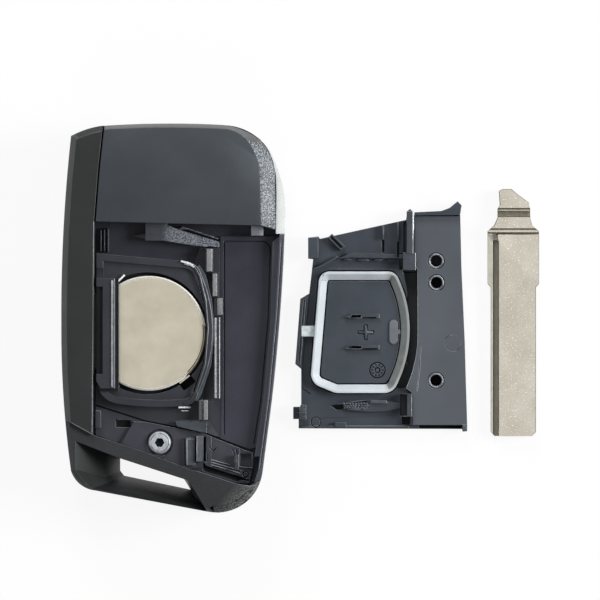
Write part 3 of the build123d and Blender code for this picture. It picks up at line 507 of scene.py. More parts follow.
# the side bevel: coarse grain, with pale specks as painted glints where the key light catches it
headCheekAbs = mouldedPlastic(
    "headCheekErodedPaintedGlints",
    ("#3d4146", "#494f55"),
    6.0,
    (0.26, 1.0, 0.09),
    0.4,
    specks=speckLook(0.22, 0.46, 0.64, "#9aa1a6"),
)
# ring loop: eroded grain, pale specks at the lower right corner as painted glints, and painted shade on the
# walls inside
loopAbs = mouldedPlastic(
    "ringLoopErodedPaintedGlints",
    ("#2a2d2f", "#343639"),
    10.0,
    (0.3, 0.7, 0.06),
    0.4,
    specks=speckLook(0.26, 0.34, 0.66, "#7d7f7b", ((0.76, -0.65, 0.8), 21.6, 25.2)),
)
loopShadeAbs = mouldedPlastic("loopInsidePaintedShade", ("#191b1c", "#202325"), 6.0, (0.3, 0.5, 0.05), 0.5)
# chassis and tray: as dark as the shells but less blue; the lower plate is a step lighter
chassisAbs = mouldedPlastic("chassisAbsMoulded", ("#2e2f35", "#3a3b41"), 8.0, (0.3, 0.25, 0.03), 0.4)
lowerAbs = mouldedPlastic("lowerPlateAbsMoulded", ("#36373f", "#42434b"), 7.0, (0.3, 0.35, 0.04), 0.4)
# stop arm: coarse grain, with pale specks as painted glints from its middle to its tip
armAbs = mouldedPlastic(
    "stopArmErodedPaintedGlints",
    ("#3c3d44", "#494a52"),
    3.0,
    (0.3, 0.5, 0.04),
    0.38,
    specks=speckLook(0.22, 0.4, 0.62, "#8b9199", ((1.0, 0.0, 0.0), -24.3, -22.6)),
)
# painted glints: near-white ridges and edges that face the lamp
glintAbs = mouldedPlastic(
    "ridgePaintedGlint",
    ("#a9aeb1", "#dfe3e5"),
    0.8,
    (0.3, 0.5, 0.05),
    0.3,
    specks=speckLook(0.3, 0.5, 0.64, "#f4f6f7"),
)
# tops of ribs, painted a step lighter than what they stand on as painted light, and edges painted bright as
# painted highlights
ribAbs = mouldedPlastic("ribTopAbsPaintedLight", ("#3b4046", "#4a5056"), 2.0, (0.34, 0.6, 0.05), 0.38)
gleamAbs = mouldedPlastic("edgePaintedHighlight", ("#6d7176", "#8f9398"), 1.0, (0.34, 0.4, 0.04), 0.3)
# battery cover: blue-grey satin, with a paler matt plate
coverAbs = mouldedPlastic("coverAbsMoulded", ("#373d45", "#434951"), 9.0, (0.3, 0.3, 0.03), 0.42)
plateAbs = mouldedPlastic("coverPlateAbsMatt", ("#4a4f55", "#545960"), 14.0, (0.3, 0.25, 0.03), 0.5)
# narrow gaps that hardly any light reaches
gapBlack = mouldedPlastic("shadowedAbsBlack", ("#101213", "#181b1c"), 3.0, (0.3, 0.3, 0.03), 0.6, 1.3)
# seal: milky white silicone, with painted shade that greys it along its right limb and on that limb's inner
# slope, and a mottled tab
sealSilicone = mouldedPlastic(
    "sealSiliconeMoulded",
    ("#c0c7cd", "#d0d7dc"),
    4.0,
    (0.4, 0.08, 0.02),
    0.45,
    1.41,
    speckLook(3.0, 0.0, 0.3, "#8d9290", ((1.0, 0.0, 0.0), 14.5, 17.5)),
)
sealShade = mouldedPlastic("sealSiliconeShaded", ("#7c8281", "#969c9a"), 2.5, (0.4, 0.1, 0.02), 0.5, 1.41)
tabSilicone = mouldedPlastic("sealTabSilicone", ("#bac6ca", "#eef4f5"), 0.8, (0.3, 0.2, 0.03), 0.45, 1.41)
# vent pad: a flat, even grey film
padMembrane = mouldedPlastic("ventPadMembrane", ("#62666a", "#70747a"), 2.0, (0.3, 0.2, 0.02), 0.5, 1.41)
# soft black rubber that shines little
blackRubber = mouldedPlastic("keypadSiliconeRubber", ("#1b1b1d", "#232326"), 8.0, (0.4, 0.2, 0.03), 0.65)
# the board's green lacquer and the black of its moulded parts
boardMask = mouldedPlastic("boardSolderMask", ("#0e3b22", "#14502e"), 6.0, (0.8, 0.1, 0.02), 0.35)
epoxyBlack = mouldedPlastic("epoxyBlackMoulded", ("#141414", "#1e1e1f"), 5.0, (0.3, 0.2, 0.02), 0.55)

# Metals: dark and light tone, where the drift turns, its size, the scratches, roughness and metallic

# nickel plated steel, wiped: long soft smears and a warm grey
cellNickel = workedMetal(
    "cellNickelPlatedSteel",
    ("#bbb4a1", "#cec7b4"),
    (0.3, 0.7),
    6.0,
    scratchLook(1.6, 0.12, 0.02, (1.0, 6.0, 1.0), 35.0),
    0.42,
    0.15,
)
# the side of the rim that turns from the light
cellShade = workedMetal(
    "cellRimPaintedShade",
    ("#4f493c", "#6b6453"),
    (0.3, 0.7),
    2.0,
    scratchLook(0.8, 0.2, 0.02),
    0.45,
    0.2,
)
# stamped and tumbled nickel silver: peened all over, with pale specks as painted glints
bladeNickelSilver = workedMetal(
    "bladeTumbledPaintedGlints",
    ("#bdb6a8", "#d0cabd"),
    (0.32, 0.68),
    5.0,
    scratchLook(0.3, 0.7, 0.04),
    0.38,
    0.12,
    speckLook(0.26, 0.62, 0.72, "#f1efe8"),
)
# painted shade: edges and groove bottoms darker than the face
bladeEdgeShade = workedMetal(
    "bladeEdgePaintedShade",
    ("#5e5949", "#7a7565"),
    (0.3, 0.7),
    0.6,
    scratchLook(0.4, 0.4, 0.03),
    0.42,
    0.12,
)
# bottom of the cut track, painted darker as painted shade
trackDark = workedMetal(
    "bladeTrackPaintedShade",
    ("#828073", "#9b998a"),
    (0.3, 0.7),
    3.0,
    scratchLook(1.0, 0.3, 0.02, (6.0, 1.0, 1.0)),
    0.45,
    0.12,
)
# the milled side track, a little duller and greener
trackNickelSilver = workedMetal(
    "bladeTrackMilled",
    ("#bab6a8", "#d2cec1"),
    (0.3, 0.7),
    2.0,
    scratchLook(1.0, 0.3, 0.02, (6.0, 1.0, 1.0)),
    0.4,
    0.15,
)
# zinc plated steel: cold, pale and softly mottled
screwZinc = workedMetal(
    "screwZincPlatedSteel",
    ("#9ba2a9", "#cbd1d6"),
    (0.35, 0.65),
    0.8,
    scratchLook(0.5, 0.3, 0.03),
    0.34,
    0.2,
)
# satin silver lacquer over plating, almost white; also a painted highlight on the cell's rounded edge
trimSilverAndHighlight = workedMetal(
    "trimSilverAndPaintedHighlight",
    ("#e6ebe9", "#f2f5f4"),
    (0.3, 0.7),
    5.0,
    scratchLook(1.0, 0.05, 0.02),
    0.3,
    0.1,
)
# chrome plating: a bright, slightly soft mirror
trimChrome = workedMetal(
    "releaseButtonChrome",
    ("#cfd4d3", "#dde1e0"),
    (0.3, 0.7),
    5.0,
    scratchLook(1.0, 0.05, 0.02),
    0.25,
    1.0,
)
# cast zinc: middle grey with a grainy, dull shine
hubZinc = workedMetal(
    "hubZincCast",
    ("#6e7072", "#808285"),
    (0.3, 0.7),
    2.5,
    scratchLook(0.6, 0.3, 0.03),
    0.45,
    1.0,
)
print("materials ready")

# Hidden CAD nodes keep their solids and take a finish
hiddenFinish = {
    "contact_minus": hubZinc,
    "contact_plus": cellNickel,
    "keypad_membrane": blackRubber,
    "circuit_board": boardMask,
    "tact_switches": epoxyBlack,
    "controller_chip": epoxyBlack,
    "radio_crystal": screwZinc,
    "transponder_coil": epoxyBlack,
    "flip_spring": screwZinc,
    "release_spring": screwZinc,
    "release_button": trimChrome,
}
for nodeName, finish in hiddenFinish.items():
    nodes[nodeName].data.materials.clear()
    nodes[nodeName].data.materials.append(finish)

# Button side and back of the housing
frontSettings = {"edge": 0.12}
frontShell = copyNode("front_shell", "frontShellSkin")
softenEdges(frontShell, frontSettings["edge"])
settle(frontShell, shellAbs, ["front_shell"], "housing")

backSettings = {
    "edge": 0.08,
    "sunk": [
        # border line of the raised panel and the fine line along the rim
        (
            "track",
            [
                (-13.35, -20.4),
                (-13.35, 13.3),
                (-6.3, 13.3),
                (-5.55, 12.7),
                (-5.3, 11.8),
                (-5.65, 0.0),
                (-6.95, -14.37),
                (-8.15, -22.0),
            ],
            0.2,
            10.6,
            12.0,
        ),
        ("track", [(-3.3, 13.6), (-4.12, 0.0), (-5.5, -14.37), (-7.1, -26.2)], 0.14, 12.85, 14.0),
    ],
    "raised": [("box", (-33.6, 13.5), (0.22, 4.2), 10.2, 12.1)],
}
backShell = copyNode("back_shell", "backShellSkin")
shape(backShell, backSettings["raised"], backSettings["sunk"])
softenEdges(backShell, backSettings["edge"])
settle(backShell, shellAbs, ["back_shell"], "housing")
# painted shade: the bay above the tray is painted darker
paintWhere(  # the bay above the tray
    backShell,
    cavityAbs,
    lambda centre, normal: 10.2 < centre.z < 12.3 and centre.x < -14.2 and centre.y > 9.0,
)
# painted light: the right rim's top is painted paler
paintWhere(  # the right rim's top
    backShell,
    rimAbs,
    lambda centre, normal: centre.z > 12.3 and normal.z > 0.9 and centre.x > -9.0,
)
# painted highlights on the rim's rounded edges
paintWhere(  # the rim's rounded edges towards the light
    backShell,
    gleamAbs,
    lambda centre, normal: centre.z > 12.2
    and centre.x > -9.0
    and 0.3 < normal.z < 0.97
    and normal.x + normal.y > 0.2,
)
print("shells ready")

# Side rail and head cover, with the dark line between them
railHeadLine = [
    (-33.95, 34.2),
    (-34.27, 33.3),
    (-35.07, 26.09),
    (-35.8, 16.67),
    (-36.0, 0.0),
    (-36.08, -20.0),
]
railSettings = {"edge": 0.12, "sunk": [("track", railHeadLine, 0.26, 13.6, 16.0)]}
sideRail = copyNode("side_rail", "sideRailSkin")
shape(sideRail, sunk=railSettings["sunk"])
softenEdges(sideRail, railSettings["edge"])
settle(sideRail, railAbs, ["side_rail"], "housing")
# painted sheen: the outer bevel is painted lighter
paintWhere(  # its outer bevel
    sideRail,
    railEdgeAbs,
    lambda centre, normal: normal.x < -0.3 and centre.z > 13.6 and centre.x < -38.0,
)
# painted highlights on its inner edge and its foot
paintWhere(  # its inner edge below the head cover, and its foot
    sideRail,
    gleamAbs,
    lambda centre, normal: centre.z > 15.2
    and normal.z > 0.3
    and (
        (normal.x > 0.25 and centre.x > -37.0 and centre.y < 15.5)
        or (normal.y < -0.25 and centre.y < -17.0)
    ),
)

headSettings = {
    "edge": 0.1,
    "sunk": [("track", railHeadLine[:4] + [(-35.86, 16.0)], 0.26, 13.6, 16.0)],
}
headCover = copyNode("head_cover", "headCoverSkin")
shape(headCover, sunk=headSettings["sunk"])
softenEdges(headCover, headSettings["edge"])
settle(headCover, headAbs, ["head_cover"], "housing", flat=False)
# painted sheen: the bevel along its top is painted pale
paintWhere(  # the bevel along its top
    headCover,
    headBrowAbs,
    lambda centre, normal: normal.y > 0.45 and 13.9 < centre.z < 15.38,
)
# painted glints: pale specks on the bevel along its right side
paintWhere(  # the bevel along its right side
    headCover,
    headCheekAbs,
    lambda centre, normal: normal.x > 0.3
    and normal.y < 0.45
    and 13.9 < centre.z < 15.38
    and centre.x > -10.0,
)
# painted highlight on the tab
paintWhere(  # the tab below its lower right corner
    headCover,
    gleamAbs,
    lambda centre, normal: normal.z > 0.9 and 13.2 < centre.z < 13.6 and centre.y < 15.6,
)

brightTrim = copyNode("bright_trim", "brightTrimSkin")
settle(brightTrim, trimSilverAndHighlight, ["bright_trim"], "housing", flat=False)
print("rail, head and trim ready")

# Key-ring loop
loopSettings = {"edge": 0.03, "scoopEdge": 0.12, "outerEdge": 0.55}
ringLoop = copyNode("ring_loop", "ringLoopSkin")
bevelWhere(  # round the scoop
    ringLoop,
    loopSettings["scoopEdge"],
    2,
    lambda a, b: a.z > 14.5 and b.z > 14.5 and (a + b).y / 2 < -24.9 and (a + b).x / 2 > -38.0,
)
bevelWhere(  # the outer upper edge, round the end and up the right side
    ringLoop,
    loopSettings["outerEdge"],
    3,
    lambda a, b: min(a.z, b.z) > 13.85
    and abs(a.z - b.z) < 0.02
    and ((a + b).x / 2 > -15.9 or (a + b).y / 2 < -33.3)
    and ((a + b).y / 2 < -30.0 or (a + b).x / 2 > -8.2),
)
softenEdges(ringLoop, loopSettings["edge"], 1)
settle(ringLoop, loopAbs, ["ring_loop"], "housing")
# painted shade on the walls inside the slot
paintWhere(  # walls inside the slot
    ringLoop,
    loopShadeAbs,
    lambda centre, normal: (centre.y < -28.5 and normal.y > 0.8 and normal.z < 0.5)
    or (centre.z < 6.0 and normal.x > 0.4 and centre.x < -31.0),
)
paintWhere(  # the scoop's left wall
    ringLoop,
    railAbs,
    lambda centre, normal: normal.x > 0.5 and 6.0 < centre.z < 14.0 and centre.x < -34.0,
)
# painted highlight on the scoop's upper edge
paintWhere(  # the scoop's edge that faces up the key
    ringLoop,
    gleamAbs,
    lambda centre, normal: 0.6 < normal.z < 0.8 and centre.z > 14.4 and centre.y > -30.0 and normal.y > 0.5,
)
print("loop ready")

# Battery tray: the well, its plate and the bead along the right rim
trayWell = [around((-26.75, -2.72), 10.6, math.radians(turn)) for turn in range(117, -118, -3)]
trayBead = [
    (-20.3, 9.5),
    (-18.75, 8.95),
    (-17.65, 7.2),
    (-16.6, 2.9),
    (-16.2, -1.9),
    (-16.7, -8.0),
    (-18.35, -13.0),
    (-19.1, -14.35),
    (-20.3, -14.95),
]
traySettings = {
    "edge": 0.08,
    "sunk": [
        ("prism", trayWell, None, 10.72, 15.0),
        ("track", [(x - 0.35, y) for x, y in trayBead[2:7]], 0.14, 13.1, 15.0),
        ("box", (-33.6, 7.75), (4.2, 1.7), 12.96, 15.0),
    ],
    "raised": [
        ("track", [(x + 0.66, y) for x, y in trayBead[1:8]], 1.0, 12.6, 13.3),
        ("track", trayBead, 0.3, 13.0, 13.78),
        ("box", (-32.72, -2.75), (0.62, 18.6), 13.7, 14.05, (0.5, 0.0)),
        ("box", (-31.66, -2.6), (0.14, 16.8), 13.4, 13.74, (0.5, 0.0)),
        ("box", (-35.72, -2.4), (0.6, 13.0), 13.3, 13.6),
        ("track", [(-20.9, 9.85), (-19.3, 9.4), (-18.45, 8.8)], 0.34, 13.3, 13.85, (0.25, 0.35)),
    ],
}
batteryTray = copyNode("battery_tray", "batteryTraySkin")
shape(batteryTray, traySettings["raised"], traySettings["sunk"])
softenEdges(batteryTray, traySettings["edge"])
settle(batteryTray, chassisAbs, ["battery_tray"], "housing")
paintWhere(  # strips of the plate that lie in shadow
    batteryTray,
    gapBlack,
    lambda centre, normal: normal.z > 0.9
    and 13.56 < centre.z < 13.7
    and centre.x < -31.7
    and centre.y < 8.0,
)
# painted highlights on the plate's ridge and the bead's edges
paintWhere(  # the plate's ridge and the edges of the bead
    batteryTray,
    gleamAbs,
    lambda centre, normal: (normal.x > 0.3 and normal.z > 0.5 and centre.z > 13.3 and centre.x < -31.5)
    or (0.3 < normal.z < 0.97 and normal.x + normal.y > 0.3 and centre.z > 13.3 and centre.x > -20.0),
)
# painted light: the band beside the bead is painted lighter
paintWhere(  # the band beside the bead
    batteryTray,
    ribAbs,
    lambda centre, normal: normal.z > 0.9 and 13.25 < centre.z < 13.35 and centre.x > -20.0,
)
# painted glint on the bead's upper end
paintWhere(  # the bright dash at the bead's upper end
    batteryTray,
    glintAbs,
    lambda centre, normal: centre.z > 13.6
    and -21.2 < centre.x < -18.2
    and centre.y > 8.6
    and normal.z > 0.5,
)
print("tray ready")

# Coin cell with its fine step near the rim, and the tip of the contact that holds it
cellSettings = {
    "edge": 0.06,
    "sunk": [("ring", (-26.5, -2.72), (9.62, 9.54), 13.14, 14.0)],
    "contact": ("track", [(-31.94, 6.16), (-30.65, 7.43)], 0.32, 13.22, 13.5),
    "contactEdge": 0.05,
}
coinCell = copyNode("coin_cell", "coinCellSkin")
shape(coinCell, sunk=cellSettings["sunk"])
softenEdges(coinCell, cellSettings["edge"])
settle(coinCell, cellNickel, ["coin_cell"], "housing")
# painted highlight on the cell's rounded upper edge
paintWhere(  # its rounded upper edge
    coinCell,
    trimSilverAndHighlight,
    lambda centre, normal: centre.z > 13.0 and 0.2 < normal.z < 0.8,
)
# painted shade on the cell's edge at the lower right
paintWhere(  # the stretch of that edge at the lower right, which turns from the light
    coinCell,
    cellShade,
    lambda centre, normal: 0.2 < normal.z < 0.97
    and centre.x > -20.0
    and -10.5 < centre.y < -1.5
    and centre.z > 12.6,
)

contactTip = buildShape(*cellSettings["contact"])
contactTip.name = "contactTip"
softenEdges(contactTip, cellSettings["contactEdge"])
settle(contactTip, trimSilverAndHighlight, [], "housing")
print("cell ready")

# Chassis: bars with bright right flanks
chassisFoot = [
    (-21.9, -18.05),
    (-17.1, -18.2),
    (-16.4, -18.15),
    (-16.4, -20.05),
    (-17.2, -19.95),
    (-21.6, -18.9),
]
chassisSettings = {
    "edge": 0.05,
    "raised": [
        ("box", (-15.95, 10.0), (0.9, 4.0), 12.3, 13.05, (0.45, 0.0)),
        ("box", (-15.0, 5.7), (0.7, 4.0), 12.3, 12.95, (0.45, 0.0)),
        ("box", (-14.1, 1.95), (0.9, 3.0), 11.0, 12.75, (0.45, 0.0)),
        ("box", (-14.95, -7.0), (0.35, 14.0), 12.3, 12.95, (0.5, 0.0)),
        ("box", (-14.25, -7.0), (0.5, 14.0), 11.0, 12.6, (0.5, 0.0)),
        ("box", (-17.45, -16.05), (0.62, 3.5), 12.3, 12.95, (0.3, 0.0)),
        ("box", (-16.6, -16.05), (0.62, 3.5), 12.3, 13.0, (0.45, 0.0)),
        ("box", (-20.25, -15.62), (2.2, 0.3), 11.0, 12.2, (0.4, 0.0)),
        ("box", (-20.2, -16.2), (1.4, 0.14), 11.0, 12.0, (0.4, 0.0)),
        ("prism", chassisFoot, None, 11.0, 12.62),
    ],
}
chassis = copyNode("chassis", "chassisSkin")
shape(chassis, chassisSettings["raised"])
softenEdges(chassis, chassisSettings["edge"], 1)
settle(chassis, chassisAbs, ["chassis"], "housing")
# painted light: the top of its foot is painted lighter
paintWhere(  # the top of its foot
    chassis,
    ribAbs,
    lambda centre, normal: normal.z > 0.5 and -22.0 < centre.x < -16.3 and -20.1 < centre.y < -17.6,
)
# painted glints on the right flanks of its bars
paintWhere(  # the right flanks of its bars
    chassis,
    glintAbs,
    lambda centre, normal: (normal.x > 0.5 and 0.3 < normal.z < 0.8 and centre.z > 12.2)
    or (
        normal.x > 0.3
        and normal.z > 0.5
        and centre.z < 12.3
        and -21.5 < centre.x < -19.0
        and centre.y < -15.0
    ),
)

# Lower plate round the screw
plateTrough = [(-17.0, -25.0), (-16.55, -25.75), (-8.95, -28.25), (-9.2, -28.5), (-17.0, -26.6)]
plateSettings = {
    "edge": 0.05,
    "sunk": [
        ("box", (-31.0, -17.95), (2.55, 0.18), 10.6, 13.0),
        ("box", (-32.2, -18.3), (0.18, 1.5), 10.6, 13.0),
        ("prism", plateTrough, None, 10.35, 13.0),
        ("box", (-16.75, -22.9), (0.42, 4.3), 10.5, 13.0),
        ("box", (-18.38, -23.0), (0.16, 4.6), 10.6, 13.0),
        ("box", (-20.15, -23.5), (0.16, 4.8), 11.2, 13.0),
        ("track", [(-11.95, -22.9), (-11.6, -24.0), (-11.65, -25.2)], 0.14, 10.7, 13.0),
        ("track", [(-11.4, -22.9), (-11.05, -24.0), (-11.05, -25.1)], 0.14, 10.7, 13.0),
        ("ring", (-9.6, -27.35), (0.62, 0.46), 10.8, 13.0),
        ("track", [(-16.4, -25.2), (-16.35, -23.6)], 0.12, 10.8, 13.0),
        ("track", [(-16.1, -22.3), (-15.3, -23.3), (-14.7, -22.6)], 0.14, 10.8, 13.0),
    ],
    "raised": [
        ("box", (-19.2, -23.45), (1.5, 4.6), 11.0, 12.5, (0.12, 0.0)),
        ("box", (-17.6, -22.85), (1.15, 4.5), 11.0, 12.6, (0.25, 0.0)),
        ("box", (-19.85, -23.4), (0.16, 4.6), 11.5, 12.75, (0.5, 0.0)),
        ("box", (-18.1, -22.8), (0.16, 4.4), 11.5, 12.95, (0.5, 0.0)),
        ("track", [(-19.95, -25.75), (-19.2, -25.6), (-18.6, -25.1)], 0.16, 10.9, 12.4),
        ("track", [(-18.3, -25.0), (-17.6, -25.1), (-17.05, -24.85)], 0.16, 10.9, 12.5),
        ("box", (-10.75, -24.45), (0.2, 3.0), 10.4, 11.4),
        ("box", (-8.45, -24.75), (0.2, 2.7), 10.4, 11.4),
        ("box", (-9.6, -26.1, -6), (2.5, 0.2), 10.4, 11.4),
        ("track", [(-15.9, -25.55), (-10.6, -27.1)], 0.16, 10.9, 11.3),
        ("track", [(-15.9, -25.15), (-10.4, -26.7)], 0.16, 10.9, 11.32),
        ("track", [(-15.7, -24.75), (-12.4, -25.65)], 0.16, 10.9, 11.3),
    ],
}
lowerPlate = copyNode("lower_plate", "lowerPlateSkin")
shape(lowerPlate, plateSettings["raised"], plateSettings["sunk"])
softenEdges(lowerPlate, plateSettings["edge"], 1)
settle(lowerPlate, lowerAbs, ["lower_plate"], "housing")
# painted light: tops of blocks and long ribs are painted lighter
paintWhere(  # tops of its blocks and of its long ribs
    lowerPlate,
    ribAbs,
    lambda centre, normal: normal.z > 0.5
    and ((centre.z > 12.0 and -20.1 < centre.x < -16.8) or (11.25 < centre.z < 11.5 and centre.x > -16.2)),
)
# painted shade in the trough, the deep grooves and the pit
paintWhere(  # the trough, the deep grooves and the pit at the left
    lowerPlate,
    gapBlack,
    lambda centre, normal: normal.z > 0.9 and centre.z < 10.6 and (centre.y < -25.3 or centre.x < -16.4),
)
# painted highlights on edges towards the light
paintWhere(  # edges towards the light
    lowerPlate,
    gleamAbs,
    lambda centre, normal: 0.5 < normal.z < 0.9
    and centre.z > 10.6
    and (normal.x + normal.y > 0.35 or (normal.x < -0.3 and centre.z > 12.2)),
)
print("chassis ready")

# Chassis screw: washer ring, inner disc and the six-lobe recess
screwCentre = (-24.59, -21.74)
screwSettings = {
    "edge": 0.05,
    "sunk": [
        ("ring", screwCentre, (1.62, 1.5), 12.15, 13.0),
        *[("disc", around(screwCentre, 0.55, math.radians(60 * k)), 0.24, 11.75, 13.0) for k in range(6)],
    ],
}
chassisScrew = copyNode("chassis_screw", "chassisScrewSkin")
shape(chassisScrew, sunk=screwSettings["sunk"])
softenEdges(chassisScrew, screwSettings["edge"])
settle(chassisScrew, screwZinc, ["chassis_screw"], "housing")
# painted shade in the bottom of the recess
paintWhere(  # the bottom of the recess
    chassisScrew,
    gapBlack,
    lambda centre, normal: 11.6 < centre.z < 12.0 and math.dist(centre.xy, screwCentre) < 0.95,
)

# Stop arm with the bead along its lower edge
armSettings = {
    "edge": 0.07,
    "raised": [("track", [(-26.9, 13.55), (-23.7, 13.55), (-18.6, 12.7), (-14.4, 12.4)], 0.3, 10.5, 11.9)],
}
stopArm = copyNode("stop_arm", "stopArmSkin")
shape(stopArm, armSettings["raised"])
softenEdges(stopArm, armSettings["edge"])
settle(stopArm, armAbs, ["stop_arm"], "housing")
print("screw and stop arm ready")

# Moving pieces under the housing
movingSettings = {
    "edge": 0.12,
    "pieces": [
        ("flip_hub", "flipHubSkin", hubZinc, "hub", "hub_metal"),
        ("lock_button", "lockButtonSkin", blackRubber, "lock", "button_rubber"),
        ("unlock_button", "unlockButtonSkin", blackRubber, "unlock", "button_rubber"),
        ("boot_button", "bootButtonSkin", blackRubber, "boot", "button_rubber"),
    ],
}
for nodeName, pieceName, finish, body, slotName in movingSettings["pieces"]:
    moving = copyNode(nodeName, pieceName)
    softenEdges(moving, movingSettings["edge"])
    settle(moving, finish, [nodeName], body)
print("moving pieces ready")

# Battery cover
sealArc = arcThrough((16.45, 8.05), (19.0, -1.6), (16.0, -13.2), 18)
sealOutline = roundCorners(
    [(6.0, -13.2, 3.0), (1.6, -11.4, 2.4), (3.25, 8.05, 1.9), (16.45, 8.05, 1.9)]
    + [(x, y, 0) for x, y in sealArc[3:-3]]
    + [(16.0, -13.2, 2.4)]
)
plusCentre = (11.32, -2.6)
wheelCentre = (13.37, -9.19)
sockets = [(23.64, 9.9), (23.7, 6.09), (23.61, -10.99)]
tallRibSide = 19.8  # its right side
upperRibTip = [(8.5, 0.1), (9.05, 0.46), (10.5, 0.46), (10.5, -0.02), (8.9, -0.02)]
lowerRibTip = [(8.2, -5.3), (9.0, -4.95), (10.55, -4.95), (10.55, -5.42), (8.7, -5.42)]
adhesiveEdge = [
    # the flakes, each with the level of its top
    ([(7.3, 10.1), (7.9, 10.35), (8.9, 10.2), (8.5, 9.95)], 1.95),
    ([(9.8, 10.0), (10.4, 10.3), (11.6, 10.25), (11.9, 9.9), (10.8, 9.85)], 1.9),
    ([(12.6, 9.95), (13.0, 10.25), (14.3, 10.25), (14.0, 9.9)], 1.95),
    ([(15.0, 9.95), (15.5, 10.25), (16.9, 10.2), (16.4, 9.85)], 1.9),
]
coverSettings = {
    "edge": 0.05,
    "ribEdge": 0.3,
    "sunk": [
        # grooves beside the seal
        ("band", sealOutline, (0.26, -0.1), 0.8, 2.0),
        ("band", sealOutline, (-1.42, -1.72), 0.9, 3.0),
        # plus sign, drawn as a line
        ("box", plusCentre, (3.0, 0.75), 1.7, 3.0),
        ("box", plusCentre, (0.75, 2.82), 1.7, 3.0),
        # marks of the moulding tool, rings round the sockets' collars and two fine lines
        ("ring", wheelCentre, (1.43, 1.25), 1.75, 3.0),
        ("ring", wheelCentre, (0.5, 0.36), 1.8, 3.0),
        ("ring", (2.6, -18.3), (0.95, 0.8), 1.2, 3.0),
        ("ring", (26.6, -4.4), (1.5, 1.4), 2.55, 4.0),
        *[("ring", socket, (1.46, 1.3), 2.3, 4.0) for socket in sockets],
        ("track", [(20.9, -5.0), (20.75, -9.0), (20.3, -12.8)], 0.13, 2.42, 4.0),
        ("track", [(0.1, -12.4), (1.0, -12.9), (1.7, -13.5)], 0.15, 1.2, 3.0),
        # slot below the plate, corner and block
        ("box", (24.4, -19.1), (7.5, 0.44), 0.2, 4.0),
        ("box", (17.95, -15.3), (1.2, 3.8), 1.0, 5.0),
        ("box", (18.35, -18.0), (1.4, 1.3), 0.5, 4.0),
        ("box", (13.75, -17.65), (8.0, 2.2), 1.62, 4.0),
        ("prism", [(5.1, -15.4), (7.2, -15.1), (7.5, -15.9), (6.4, -16.2)], None, 0.6, 4.0),
        # trough above the seal and lines to the left of it
        ("prism", [(6.2, 8.55), (7.0, 9.75), (17.3, 9.75), (17.3, 8.45)], None, 1.35, 3.0),
        ("track", [(0.05, -8.1), (1.0, 3.2)], 0.14, 2.0, 3.0),
        ("track", [(-0.35, -7.9), (0.55, 3.1)], 0.14, 2.0, 3.0),
        # corner tabs
        ("track", [(2.95, 14.2), (3.1, 10.6)], 0.22, 2.0, 4.0),
        ("box", (-0.88, -16.7), (0.98, 2.4), 2.2, 4.0),
        *[("box", (0.35, y), (1.3, 0.14), 2.7, 4.0) for y in (-15.95, -16.6, -17.25)],
        # slanted clip, thin ribs, tall rib and cube clip
        ("box", (6.2, 13.18, -45), (2.7, 0.4), 1.6, 4.0),
        ("box", (14.37, 12.45), (0.4, 2.3), 0.6, 4.0),
        ("box", (17.0, 11.9), (0.4, 2.8), 0.6, 4.0),
        ("box", (18.2, 14.1), (0.5, 5.4), 0.8, 2.0),
        ("box", (17.5, 9.75), (0.6, 2.9), 0.6, 2.0),
        ("box", (18.9, 7.98), (2.2, 0.36), 0.3, 2.0),
        ("box", (23.85, 17.82), (7.6, 0.16), 1.6, 3.0),
        # the two pointed ribs
        ("prism", upperRibTip, None, 1.2, 4.0),
        ("box", (11.95, -0.02), (2.6, 0.2), 1.5, 4.0),
        ("prism", lowerRibTip, None, 1.2, 4.0),
        ("box", (12.1, -5.45), (2.7, 0.16), 1.5, 4.0),
        # spokes of the mould wheel, and the stippled bar
        *[
            ("box", (*around(wheelCentre, 0.93, math.radians(36 * k)), 36 * k), (0.42, 0.15), 1.8, 3.0)
            for k in range(10)
        ],
        *[
            ("disc", (7.7 + 0.5 * column + 0.12 * (row % 2), -14.95 - 0.36 * row), 0.1, 1.95, 3.0)
            for row in range(3)
            for column in range(9)
        ],
    ],
    "raised": [
        ("box", plusCentre, (2.62, 0.37), 1.6, 1.97),
        ("box", plusCentre, (0.37, 2.44), 1.6, 1.98),
        *[("ring", socket, (1.28, 1.1), 2.4, 2.74) for socket in sockets],
        ("box", (28.62, -19.25), (0.7, 1.1), 0.1, 2.62),
        ("box", (16.93, 15.3), (0.16, 2.4), 0.8, 2.6),
        ("box", (19.25, -18.0), (0.22, 1.5), 1.0, 3.2),
        ("box", (6.9, -18.75), (1.9, 0.8), 1.0, 2.3),
        ("box", (13.6, -14.75), (2.8, 0.5), 1.8, 2.5, (0.0, 0.3)),
        ("track", [(2.25, 8.5), (3.8, 9.15), (6.4, 10.6)], 0.28, 1.0, 2.2),
        # broken edge of the adhesive below the ledge
        *[("prism", flake, None, 1.0, top) for flake, top in adhesiveEdge],
    ],
}
batteryCover = copyNode("battery_cover", "batteryCoverSkin")
shape(batteryCover, coverSettings["raised"], coverSettings["sunk"])
bevelWhere(  # the tall rib's upper right edge
    batteryCover,
    coverSettings["ribEdge"],
    1,
    lambda a, b: max(abs(a.x - tallRibSide), abs(b.x - tallRibSide)) < 0.06 and min(a.z, b.z) > 3.9,
)
softenEdges(batteryCover, coverSettings["edge"], 1)
settle(batteryCover, coverAbs, ["battery_cover"], "housing")
paintWhere(  # the plate on the right
    batteryCover,
    plateAbs,
    lambda centre, normal: normal.z > 0.9 and 2.4 < centre.z < 2.65 and centre.x > 18.4,
)
